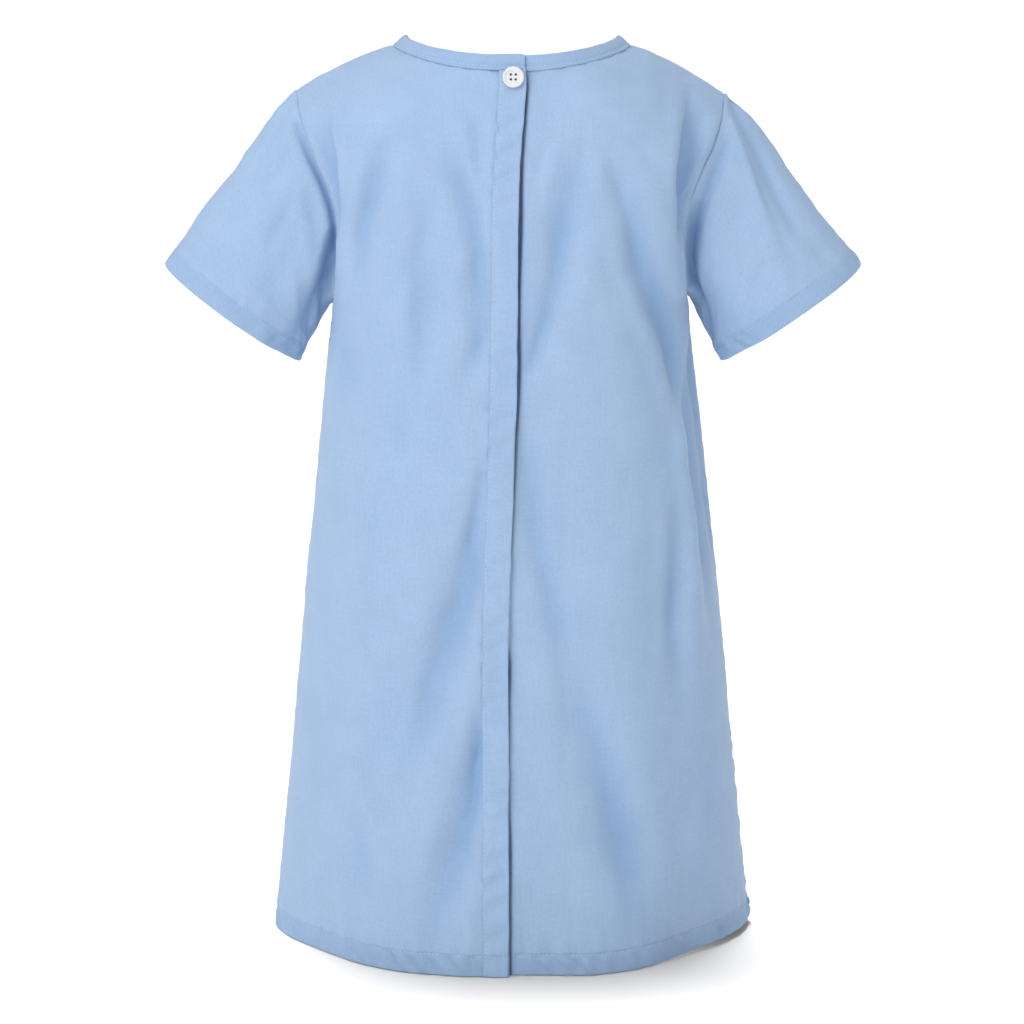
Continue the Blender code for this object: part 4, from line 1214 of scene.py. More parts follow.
# ---- back and front ------------------------------------------------------------------------
@dataclass(kw_only=True)
class BodyPanel:
    """What the panels of the body share: a smooth form, its folds, its seams and its hem."""

    name: str
    folds: tuple[Fold, ...]
    side_fade: float = 4.0  # creases die out this far from the side seam
    armhole_fade: float = 4.0
    puckers_lean: float = 0.3
    calm_pucker: float = 0.35  # the share of its puckers that a side seam has
    crinkle: float = 1.1  # and how much more, low on the right side
    crinkle_from: tuple[float, float] = (400.0, 60.0)  # drop and fade
    crinkle_to: tuple[float, float] = (562.0, 16.0)
    gather_reach: float = 8.0
    neck_dent: tuple[float, float, float] = (0.7, 0.8, 1.2)  # depth, place and width
    panel: Panel = field(init=False)

    def places(self) -> tuple[np.ndarray, np.ndarray]:
        """Where each point lies across the gown, and its drop."""
        return self.panel.sheet.points[:, 0], -self.panel.sheet.points[:, 2]

    def shape(self) -> None:
        """Presses in the solids' folds, as the solids have them."""
        height = fold_height(self.folds, *self.places()) * (1 - self.panel.calm())
        self.panel.sheet.raise_by(height)

    def quiet(self) -> np.ndarray:
        """0 on the seams and the neckline, where creases die out, and 1 away from them."""
        quiet = smooth(self.panel.from_side() / self.side_fade)
        quiet *= smooth(self.panel.from_neck() / NECK_FADE)
        return quiet * smooth(self.panel.from_top() / TOP_FADE)

    def seams(self, seed: int) -> np.ndarray:
        """The relief beside the side seams, armholes and shoulder seams.

        Args:
            seed: chooses the pattern of their puckers.

        Returns:
            The height at each point.
        """
        x, drop = self.places()
        from_side, from_top = self.panel.from_side(), self.panel.from_top()
        below = smooth((drop - UNDERARM_DROP) / self.armhole_fade)
        start, fade_in = self.crinkle_from
        stop, fade_out = self.crinkle_to
        on_right = smooth(x / 20)
        crinkled = self.crinkle * on_right * smooth((drop - start) / fade_in)
        crinkled = self.calm_pucker + crinkled * (1 - smooth((drop - stop) / fade_out))
        waves = SIDE_PUCKERS.at(seed, drop + self.puckers_lean * from_side)
        side = SIDE_SEAM.height(from_side, waves * crinkled)
        arm = ARMHOLE_BODY_SEAM.height(from_side, waves)
        shoulder = SHOULDER_SEAM.height(from_top, SEAM_PUCKERS.at(seed + 1, x))
        return side * below + arm * (1 - below) + shoulder

    def gathers(self, seed: int) -> np.ndarray:
        """Small gathers that run down from the neck band.

        Args:
            seed: chooses their pattern.

        Returns:
            The height at each point.
        """
        points, from_neck = self.panel.sheet.points, self.panel.from_neck()
        turn = np.arctan2(points[:, 0], np.abs(points[:, 1]))
        waves = NECK_GATHERS.at(seed, turn * NECK_HALF_WIDTH)
        deep, at, wide = self.neck_dent
        return waves * np.exp(-from_neck / self.gather_reach) - deep * bell(from_neck - at, wide)

    def turn_hem(self) -> None:
        """Gives the turned hem its thickness."""
        self.panel.sheet.turn_up(self.panel.from_hem() <= HEM_TOP, TURNED_HEM)


@dataclass(kw_only=True)
class BackPanel(BodyPanel):
    """The left or right back: a panel from the side seam to the opening down the middle."""

    side: Side
    folds: tuple[Fold, ...] = BACK_FOLDS
    # columns across the right back, with close ones where it goes under the placket
    gap_lines: tuple[float, ...] = (
        0.0, 4.0, 8.0, 11.0, 13.0, 14.4, 15.2, 15.8, 16.4, 17.0, 17.6, 18.3, 19.2, 20.6, 22.5,
    )
    seed: int = field(init=False)

    def __post_init__(self) -> None:
        """Works out the smooth form."""
        left = self.side is Side.LEFT
        self.seed = self.side_seed(self.side)
        self.panel = Panel(
            Half(
                self.side,
                Facing.BACK,
                BACK_MIDDLE,
                BACK_ARMHOLE,
                BACK_NECK,
                (lambda drop: -placket_edge(drop)) if left
                else (lambda drop: placket_edge(drop) - PLACKET_WIDTH),
                LAP if left else 0.0,
                Spacing(SEAM_STEPS, 84) if left else Spacing(self.gap_lines, 78),
            )
        )

    def relief(self) -> None:
        """Adds creases, seams, hem, puckers and the gap beside the placket, and paints shade deep
        in the creases and in the gap.
        """
        sheet, panel, quiet = self.panel.sheet, self.panel, self.quiet()
        x, drop = self.places()
        height = self.slack(self.side, x, drop) * quiet
        if self.side is Side.RIGHT:
            at_placket = self.gap(x, drop)
            placket = smooth((x - placket_edge(drop) - 2) / self.side_fade)
            # paints shade deep in the creases, and more in the gap beside the placket
            sheet.sink(height + 2 * at_placket)
        else:
            at_placket = self.placket_pull(x, drop)
            placket = smooth((placket_edge(drop) - PLACKET_WIDTH - x) / self.side_fade)
            # paints shade deep in the creases
            sheet.sink(height)
        height += BODY_RIPPLE.at(self.seed + 1, x, drop) * quiet * placket
        height += self.seams(self.seed + 2)
        height += self.gathers(self.seed + 4)
        hem = BODY_HEM.height(panel.from_hem(), panel.across(), BACK_ROPES, self.seed + 7)
        height += hem * placket
        height += at_placket
        sheet.raise_by(height)
        self.turn_hem()

    @staticmethod
    def side_seed(side: Side) -> int:
        """The number that chooses a back panel's waves."""
        return 11 if side is Side.LEFT else 12

    @staticmethod
    def slack(side: Side, x: np.ndarray, drop: np.ndarray) -> np.ndarray:
        """How creases and slackness raise a back panel, and less so where the placket is stiff.

        Args:
            side: which back panel.
            x: places across the gown.
            drop: the same places' drops.

        Returns:
            The height at each place.
        """
        seed = BackPanel.side_seed(side)
        bent = x + BACK_BENDS.at(seed + 20, x, drop)
        height = fold_height(BACK_CREASES, bent, drop, fine=True)
        height += BACK_SLACK.at(seed, x, drop)
        if side is Side.LEFT:
            height *= 0.35 + 0.65 * np.clip((placket_edge(drop) - x) / PLACKET_WIDTH, 0.0, 1.0)
        return height

    @staticmethod
    def gap(x: np.ndarray, drop: np.ndarray) -> np.ndarray:
        """The right back dips as it goes under the placket, which leaves a dark gap.

        Args:
            x: places across the gown.
            drop: the same places' drops.

        Returns:
            The height at each place.
        """
        depth, wide = read(GAPS, "drop", "depth", drop), read(GAPS, "drop", "width", drop)
        past = x - placket_edge(drop) - 0.8 * wide
        return -depth * np.where(past < 0, 1.0, bell(past, wide))

    @staticmethod
    def placket_pull(x: np.ndarray, drop: np.ndarray) -> np.ndarray:
        """Small puckers in the left back at the placket's line of stitches.

        Args:
            x: places across the gown.
            drop: the same places' drops.

        Returns:
            The height at each place.
        """
        past = placket_edge(drop) - PLACKET_WIDTH + 1.0 - x
        waves = PLACKET_PUCKERS.at(31, drop + 0.4 * past)
        near = smooth((past + 2) / 3) * np.exp(-np.maximum(past, 0) / 7)
        return waves * near - 0.4 * bell(past, 1.0)


@dataclass(kw_only=True)
class FrontPanel(BodyPanel):
    """The front, in one piece from side seam to side seam."""

    folds: tuple[Fold, ...] = FRONT_FOLDS
    side_fade: float = 6.0
    seed: int = 61

    def __post_init__(self) -> None:
        """Works out the smooth form."""
        self.panel = Panel(
            *(
                Half(
                    side,
                    Facing.FRONT,
                    FRONT_MIDDLE,
                    FRONT_ARMHOLE,
                    FRONT_NECK,
                    lambda drop: 0.0,
                    0.0,
                    Spacing((0.0,), 62),
                )
                for side in (Side.RIGHT, Side.LEFT)
            )
        )

    def relief(self) -> None:
        """Adds creases, seams, hem and puckers, and paints shade deep in the creases."""
        panel, quiet = self.panel, self.quiet()
        x, drop = self.places()
        bent = x + FRONT_BENDS.at(self.seed, x, drop)
        height = fold_height(FRONT_CREASES, bent, drop, fine=True) * quiet
        # paints shade deep in the creases
        panel.sheet.sink(height)
        height += FRONT_SLACK.at(self.seed + 1, x, drop) * quiet
        height += BODY_RIPPLE.at(self.seed + 2, x, drop) * quiet
        height += self.seams(self.seed + 5)
        height += self.gathers(self.seed + 11)
        height += BODY_HEM.height(panel.from_hem(), panel.across(), FRONT_ROPES, self.seed + 10)
        panel.sheet.raise_by(height)
        self.turn_hem()


# ---- sleeves -------------------------------------------------------------------------------
@dataclass
class Sleeve:
    """A short set-in sleeve: a tube from the armhole to a turned and stitched cuff."""

    side: Side
    name: str
    flutes: tuple[Flute, ...]
    creases: tuple[Flute, ...]
    tucks: tuple[Tuck, ...]
    cuff_centre: tuple[float, float, float] = (178.2, 4.0, 170.2)  # across, forwards, drop
    cuff_slope: float = math.radians(54.6)
    cuff_half_height: float = 53.8
    cuff_half_depth: float = 37.0
    cuff_forwards: float = 0.05
    shoulder_leaving: tuple[float, float, float] = (0.86, 0.0, -0.51)
    underarm_leaving: tuple[float, float, float] = (0.92, 0.0, -0.39)
    pulls: tuple[float, float, float] = (0.6, 0.35, 0.85)  # at the shoulder, underarm and cuff
    even_rings: int = 46
    cuff_lines: tuple[float, ...] = (
        15.0, 13.6, 12.8, 12.3, 11.8, 11.3, 10.6, 9.0, 6.5, 4.0, 2.0, 0.8, 0.0,
    )
    stitch_place: int = 9  # from the cuff's edge, the ring of the line of stitches
    crease_fade: float = 8.0  # creases die out this far from the armhole
    underarm_fade: float = 5.0  # and the underarm seam this far from it
    wave_radius: float = 30.0  # of the ring that the waves go round
    wave_twist: float = 0.5
    sheet: Sheet = field(init=False)
    rings: np.ndarray = field(init=False)
    stations: np.ndarray = field(init=False)
    shares: np.ndarray = field(init=False)

    def armhole_loop(self) -> np.ndarray:
        """Goes round the armhole, from the underarm up the back and down the front.

        Returns:
            Its points.
        """
        yoke = ARMHOLE_AT_NECK * np.arange(YOKE_STEPS + 1) / YOKE_STEPS
        shares = np.concatenate([yoke, ARMHOLE_AT_NECK + (1 - ARMHOLE_AT_NECK) * neck_shares()])
        loops = []
        for table, facing in ((BACK_ARMHOLE, Facing.BACK), (FRONT_ARMHOLE, Facing.FRONT)):
            x, depth, drop = (read(table, "share", name, shares) for name in ("x", "depth", "drop"))
            loops.append(np.stack([x * self.side.value, depth * facing.value, -drop], axis=1))
        return np.concatenate([loops[0], loops[1][-2:0:-1]])

    def cuff_ring(self) -> np.ndarray:
        """Works out the sleeve's end.

        Returns:
            Its point at each share of the way round.
        """
        x, forwards, drop = self.cuff_centre
        along_x, along_z = math.cos(self.cuff_slope), -math.sin(self.cuff_slope)
        turn = 2 * math.pi * self.shares
        up, aft = -np.cos(turn) * self.cuff_half_height, np.sin(turn) * self.cuff_half_depth
        ring = np.stack([x - along_z * up, forwards - aft, -drop + along_x * up], axis=1)
        ring[:, 0] *= self.side.value
        return ring

    def shape(self) -> None:
        """Works out the tube and presses in the solids' folds."""
        start = self.armhole_loop()
        around = np.linalg.norm(np.diff(np.concatenate([start, start[:1]]), axis=0), axis=1)
        self.shares = np.concatenate([[0.0], np.cumsum(around)[:-1] / around.sum()])
        end = self.cuff_ring()
        top = (0.5 - 0.5 * np.cos(2 * math.pi * self.shares))[:, None]
        leaving = top * np.array(self.shoulder_leaving)
        leaving += (1 - top) * np.array(self.underarm_leaving)
        down_sleeve = (math.cos(self.cuff_slope), self.cuff_forwards, -math.sin(self.cuff_slope))
        arriving = np.tile(down_sleeve, (len(self.shares), 1))
        leaving[:, 0] *= self.side.value
        arriving[:, 0] *= self.side.value
        length = np.linalg.norm(end - start, axis=1, keepdims=True)
        shoulder, underarm, cuff = self.pulls
        leaving *= length * (top * shoulder + (1 - top) * underarm)
        arriving *= length * cuff
        mean = float(length.mean())
        close = np.array(SEAM_STEPS) / mean
        lines = 1 - np.array(self.cuff_lines) / mean
        even = np.linspace(close[-1], lines[0], self.even_rings + 1)[1:-1]
        self.stations = np.concatenate([close, even, lines])
        s = self.stations[:, None, None]
        rings = (1 + 2 * s) * (1 - s) ** 2 * start + s * (1 - s) ** 2 * leaving
        self.rings = rings + s * s * (3 - 2 * s) * end - s * s * (1 - s) * arriving
        count = len(self.shares)
        r, c = grid_quads(len(self.stations), count, wraps=True, turned=self.side is Side.RIGHT)
        girth = float(around.sum())
        across = np.append(self.shares, 1.0)[c] * girth * MM
        along = np.concatenate([travelled(self.rings), travelled(self.rings)[:, :1]], axis=1) * MM
        self.sheet = Sheet(
            pushed(self.rings).reshape(-1, 3),
            r * count + c % count,
            np.stack([across, -along[r, c]], axis=-1),
        )
        calm = 1 - smooth(self.stations[:, None] * mean / FOLD_FADE)
        self.sheet.raise_by((self.flute_height(self.flutes) * (1 - calm)).ravel())

    def flute_height(self, flutes: tuple[Flute, ...]) -> np.ndarray:
        """Works out how high folds along the sleeve raise it.

        Args:
            flutes: the folds.

        Returns:
            The height at each ring and share of the way round.
        """
        total = np.zeros((len(self.stations), len(self.shares)))
        for flute in flutes:
            span = flute.end_along - flute.start_along
            along = np.clip((self.stations - flute.start_along) / span, 0.0, 1.0)
            centre = flute.start_around + (flute.end_around - flute.start_around) * along
            apart = (self.shares[None, :] - centre[:, None] + 0.5) % 1.0 - 0.5
            to_cuff = 0.5 if flute.end_along >= 1.0 else 1.0
            taper = np.sin(math.pi * along * to_cuff) ** FLUTE_TAPER
            total -= flute.depth * taper[:, None] * bell(apart, flute.width)
        return total

    def tuck_height(self, from_armhole: np.ndarray) -> np.ndarray:
        """Works out how high the folds beside the armhole raise the sleeve.

        Args:
            from_armhole: each place's distance from the armhole.

        Returns:
            The height at each ring and share of the way round.
        """
        total = np.zeros_like(from_armhole)
        for tuck in self.tucks:
            span = tuck.end_around - tuck.start_around
            way = np.clip((self.shares - tuck.start_around) / span, 0.0, 1.0)
            at = tuck.start_at + (tuck.end_at - tuck.start_at) * way
            taper = np.sin(math.pi * way) ** FLUTE_TAPER
            total -= tuck.depth * taper * bell(from_armhole - at, tuck.width)
        return total * smooth(from_armhole / 2)

    def girths(self) -> np.ndarray:
        """The length of each step round the sleeve's rings."""
        return np.linalg.norm(np.diff(self.rings, axis=1, append=self.rings[:, :1]), axis=2)

    def relief(self) -> None:
        """Adds creases, the armhole and underarm seams, and the cuff's hem, and paints shade deep
        in the creases and tucks.
        """
        seed = 81 if self.side is Side.LEFT else 91
        from_armhole, girth = travelled(self.rings), self.girths()
        to_cuff = from_armhole[-1:] - from_armhole
        around = np.cumsum(girth, axis=1) - girth
        quiet = smooth(from_armhole / self.crease_fade)
        height = self.flute_height(self.creases) * quiet + self.tuck_height(from_armhole)
        # paints shade deep in the creases and tucks
        self.sheet.sink(height)
        turn = 2 * math.pi * self.shares
        x = self.wave_radius * np.cos(turn) + from_armhole * self.wave_twist
        y = self.wave_radius * np.sin(turn) + from_armhole
        height += SLEEVE_SLACK.at(seed, x, y) * quiet
        height += SLEEVE_RIPPLE.at(seed + 1, x, y) * quiet
        puckers = ARMHOLE_PUCKERS.at(seed + 2, around)
        height += ARMHOLE_SLEEVE_SEAM.height(from_armhole, puckers)
        from_seam = np.minimum(around, girth.sum(axis=1, keepdims=True) - around)
        seam = UNDERARM_SEAM.height(from_seam, SEAM_PUCKERS.at(seed + 3, from_armhole))
        height += seam * smooth(from_armhole / self.underarm_fade)
        height += CUFF_HEM.height(to_cuff, around, CUFF_ROPES, seed + 4)
        self.sheet.raise_by(height.ravel())
        self.sheet.turn_up((to_cuff <= self.cuff_lines[2] + 0.05).reshape(-1), TURNED_CUFF)
        self.sheet.open_rim[-len(self.shares) :] = 1.0

    def stitch_ring(self) -> np.ndarray:
        """The numbers of the points on the cuff's line of stitches, all the way round."""
        row = len(self.stations) - self.stitch_place
        count = len(self.shares)
        return np.append(np.arange(count), 0) + row * count


# ---- neck binding --------------------------------------------------------------------------
@dataclass
class NeckBinding:
    """The bias strip folded over the neckline, whose ends lap at the back."""

    name: str = "neck_binding"
    slope_back: float = 74.0  # degrees above the horizontal
    slope_side: float = 42.0
    slope_front: float = 58.0
    step: float = 1.9
    end_low: float = 1.3  # how much lower the under end lies
    end_reach: float = 50.0
    end_size: float = 0.55  # of the profile at its two ends
    end_round: float = 0.9  # over how long it grows from that
    end_lowers: float = 0.25  # how much of that its height has
    middle: tuple[float, float] = (4.0, -0.25)  # of the profile
    stitch_height: float = 1.5
    # up the slope from the neckline, and outwards, from the lower lip over the top and back
    profile: tuple[tuple[float, float], ...] = (
        (-1.0, 0.10), (-1.0, 0.62), (-0.6, 1.02), (0.1, 1.14), (0.85, 0.84), (1.5, 0.46),
        (2.05, 0.66), (3.0, 0.90), (4.4, 0.98), (5.9, 0.96), (7.3, 0.84), (8.4, 0.58),
        (9.0, 0.18), (9.15, -0.3), (9.0, -0.8), (8.4, -1.15), (7.2, -1.35), (5.4, -1.4),
        (3.4, -1.38), (1.4, -1.3), (-0.2, -1.15), (-0.9, -0.8),
    )
    points: np.ndarray = field(init=False)
    line: np.ndarray = field(init=False)
    out: np.ndarray = field(init=False)

    def follow(self, loop: np.ndarray) -> None:
        """Lays the binding along the neckline, from the left back's end round to the right's.

        Args:
            loop: the neckline's points in that order.
        """
        total = float(travelled(loop)[-1])
        along = np.linspace(0.0, total, round(total / self.step) + 1)
        line = at_lengths(loop, along)
        steps = np.gradient(line, axis=0)
        wide = np.ones(5) / 5
        padded = [np.pad(steps[:, axis], 2, mode="edge") for axis in range(3)]
        steps = np.stack([np.convolve(part, wide, mode="valid") for part in padded], axis=1)
        sideways = unit(np.stack([steps[:, 1], -steps[:, 0]], axis=1))
        turn = np.arctan2(line[:, 0] / NECK_HALF_WIDTH, -line[:, 1] / BACK_NECK.depth)
        to_front, to_side = 0.5 - 0.5 * np.cos(turn), np.sin(turn) ** 2
        ends = self.slope_back * (1 - to_front) + self.slope_front * to_front
        slope = np.radians(ends * (1 - to_side) + self.slope_side * to_side)
        lean = np.column_stack([sideways * np.cos(slope)[:, None], np.sin(slope)])
        out = unit(np.cross(lean, unit(steps)))
        low = self.end_low * (1 - smooth((total - along) / self.end_reach))
        line = line - lean * low[:, None]
        self.line, self.out = line, out
        height, outwards = (np.array(column) for column in zip(*self.profile))
        middle_up, middle_out = self.middle
        from_end = np.minimum(along, total - along) / self.end_round
        size = self.end_size + (1 - self.end_size) * np.sqrt(np.clip(from_end, 0.0, 1.0))[:, None]
        up = middle_up + (height - middle_up) * (1 - (1 - size) * self.end_lowers)
        up += BINDING_RISE.at(41, along)[:, None] * (height > middle_up)
        aside = middle_out + (outwards - middle_out) * size
        aside += BINDING_SWELL.at(42, along)[:, None]
        self.points = line[:, None] + lean[:, None] * up[..., None]
        self.points += out[:, None] * aside[..., None]

    def build(self, finish: bpy.types.Material) -> bpy.types.Object:
        """Makes the closed tube with capped ends.

        Args:
            finish: its material.

        Returns:
            The binding.
        """
        count, around = self.points.shape[:2]
        r, c = grid_quads(count, around, wraps=True)
        along = travelled(self.line)[:, None] * np.ones(around + 1)
        across = np.append(travelled(self.points[count // 2]), 0.0)
        across[-1] = across[-2] + 1.0
        uv = np.stack([along[r, c], across[c]], axis=-1) * MM
        number = r * around + c % around
        ends = []
        for first, flip in ((0, False), ((count - 1) * around, True)):
            for i in range(around // 2 - 1):
                cap = [first + n for n in (i, i + 1, around - 2 - i, around - 1 - i)]
                ends.append(cap[::-1] if flip else cap)
        caps = np.array(ends)
        return make_object(
            self.name,
            self.points.reshape(-1, 3) * MM,
            np.concatenate([number, caps]),
            finish,
            np.concatenate([uv, np.zeros((len(caps), 4, 2))]),
            {LAYERS: np.ones(count * around)},
        )

    def stitch_line(self) -> tuple[np.ndarray, np.ndarray]:
        """The line of stitches and the directions out of the cloth along it."""
        place = int(np.argmin([abs(h - self.stitch_height) for h, _ in self.profile[:9]]))
        return self.points[:, place], self.out

    def shows(self) -> tuple[float, float]:
        """Width and length of the folded strip, in metres."""
        round_it = np.concatenate([self.points, self.points[:, :1]], axis=1)
        girth = np.linalg.norm(np.diff(round_it, axis=1), axis=2).sum(axis=1).mean()
        return float(girth) / 2 * MM, float(travelled(self.line)[-1]) * MM


# ---- placket -------------------------------------------------------------------------------
@dataclass
class PlacketStrip:
    """The folded strip down the edge of the left back, from the binding to the hem."""

    name: str = "placket_strip"
    edge_over: float = 0.4  # how far its folded edge stands past the panel's
    stitch_share: float = 0.925
    step: float = 2.6
    top: float = 9.4
    apart: float = 0.15  # how far it lies outside the left back
    thickness: float = 0.5
    darker: float = 0.3  # how much it looks like a turned hem
    droop: float = 0.4  # of its lowest corner
    droop_from: tuple[float, float] = (540.0, 40.0)  # drop and fade
    ripple_lean: float = 0.25
    pucker_lean: float = 0.4
    pucker_at: tuple[float, float] = (0.86, 0.12)  # share of the width, and reach
    pressed: float = 0.25  # how much of its height is left under the binding
    band_fade: float = 6.0
    dent_width: float = 0.9
    # share of the width from the folded edge, and how high the strip lies there
    profile: tuple[tuple[float, float], ...] = (
        (0.0, 0.50), (0.012, 0.82), (0.035, 1.02), (0.07, 1.06), (0.12, 1.0), (0.2, 0.95),
        (0.3, 0.94), (0.4, 0.94), (0.5, 0.94), (0.6, 0.95), (0.7, 0.96), (0.78, 0.94),
        (0.84, 0.86), (0.885, 0.68), (0.925, 0.52), (0.955, 0.62), (0.975, 0.66), (0.99, 0.5),
        (1.0, 0.2),
    )
    sheet: Sheet = field(init=False)
    columns: int = field(init=False)
    drops: np.ndarray = field(init=False)

    def shape(self) -> None:
        """Works out the strip over the left back's face."""
        low = LENGTH - np.array(HEM_LINES)
        rest = np.linspace(low[-1], self.top, round((low[-1] - self.top) / self.step) + 1)[1:]
        self.drops = np.concatenate([low, rest])
        share, lift = (np.array(column) for column in zip(*self.profile))
        self.columns = len(share)
        drop = np.tile(self.drops[:, None], (1, self.columns))
        wander = STRIP_WANDER.at(33, self.drops)[:, None]
        edge = placket_edge(drop) + self.edge_over * (1 - share)
        x = edge - share * PLACKET_WIDTH + wander * (1 - share)
        middle = np.sin(math.pi * np.clip(share, 0, 1)) ** 0.5
        ripple = STRIP_RIPPLE.at(34, drop + self.ripple_lean * x) * middle * (0.5 + 0.5 * share)
        pucker_share, reach = self.pucker_at
        pucker = STRIP_PUCKERS.at(35, drop - self.pucker_lean * x)
        pucker = pucker * bell(share - pucker_share, reach)
        free = self.pressed + (1 - self.pressed) * smooth((drop - self.top) / self.band_fade)
        out = LAP + self.apart + (lift + ripple + pucker) * free
        slack = BackPanel.slack(Side.LEFT, x.ravel(), drop.ravel()).reshape(x.shape)
        out += slack * smooth((drop - BACK_NECK.drop) / NECK_FADE)
        start, fade = self.droop_from
        corner = self.droop * smooth((drop - start) / fade) * (1 - share)
        back = -read(BACK_MIDDLE, "drop", "depth", drop) - out
        points = np.stack([x, back, -drop - corner], axis=-1)
        r, c = grid_quads(*points.shape[:2], turned=True)
        uv = np.stack([-share[c] * PLACKET_WIDTH, drop[r, c] + 3.0], axis=-1) * MM
        self.sheet = Sheet(pushed(points).reshape(-1, 3), r * self.columns + c, uv)
        self.sheet.thickness[:] = self.thickness
        self.sheet.layers[:] = self.darker
        from_stitches = LENGTH - drop - BODY_HEM.stitch_line
        self.sheet.raise_by(-BODY_HEM.dent * bell(from_stitches, self.dent_width))

    def stitch_column(self) -> np.ndarray:
        """The numbers of the points on the strip's line of stitches, from the hem up."""
        place = int(np.argmin([abs(share - self.stitch_share) for share, _ in self.profile]))
        return np.arange(len(self.drops)) * self.columns + place

    def hem_row(self) -> np.ndarray:
        """The numbers of the strip's points on the hem's line of stitches, from left to right."""
        return HEM_STITCH_LINE * self.columns + np.arange(self.columns)[::-1]


# ---- stitches ------------------------------------------------------------------------------
@dataclass
class Stitching:
    """A row of machine stitches along one or more lines on the cloth."""

    name: str
    pitch: float = 2.8
    length: float = 2.1
    width: float = 0.36
    sides: int = 6
    rise: float = 0.2  # of a stitch's middle above the cloth
    sink: float = 0.22  # of its ends into the needle holes
    shares: tuple[float, ...] = (0.0, 0.12, 0.5, 0.88, 1.0)
    fullness: tuple[float, ...] = (0.45, 0.9, 1.0, 0.9, 0.45)
    tubes: list[np.ndarray] = field(default_factory=list)

    def along(self, line: np.ndarray, outwards: np.ndarray) -> None:
        """Sews along a line.

        Args:
            line: the line's points.
            outwards: the directions out of the cloth there.
        """
        distance = travelled(line)
        count = int(distance[-1] / self.pitch)
        start = (np.arange(count) + 0.15) * self.pitch
        at = start[:, None] + np.array(self.shares) * self.length
        centre = np.stack([np.interp(at, distance, line[:, k]) for k in range(3)], axis=-1)
        out = unit(np.stack([np.interp(at, distance, outwards[:, k]) for k in range(3)], axis=-1))
        forward = unit(centre[:, -1:] - centre[:, :1])
        aside = unit(np.cross(forward, out))
        arch = np.sin(math.pi * np.array(self.shares))[None, :, None]
        centre = centre + out * (self.rise * arch - self.sink * (1 - arch))
        turn = np.arange(self.sides) * 2 * math.pi / self.sides
        radius = self.width / 2 * np.array(self.fullness)[None, :, None, None]
        ring = aside[:, :, None] * np.cos(turn)[:, None] + out[:, :, None] * np.sin(turn)[:, None]
        self.tubes.append(centre[:, :, None] + ring * radius)

    def build(self, finish: bpy.types.Material) -> bpy.types.Object:
        """Makes all the stitches.

        Args:
            finish: their material.

        Returns:
            One object.
        """
        tubes = np.concatenate(self.tubes)
        count, rings = tubes.shape[:2]
        r, c = grid_quads(rings, self.sides, wraps=True, turned=True)
        last = (rings - 1) * self.sides
        caps = [[0, 1, 2, 3], [0, 3, 4, 5]]
        caps += [[last + n for n in cap] for cap in ((3, 2, 1, 0), (5, 4, 3, 0))]
        one = np.concatenate([r * self.sides + c % self.sides, caps])
        every = one[None] + np.arange(count)[:, None, None] * rings * self.sides
        return make_object(self.name, tubes.reshape(-1, 3) * MM, every.reshape(-1, 4), finish)


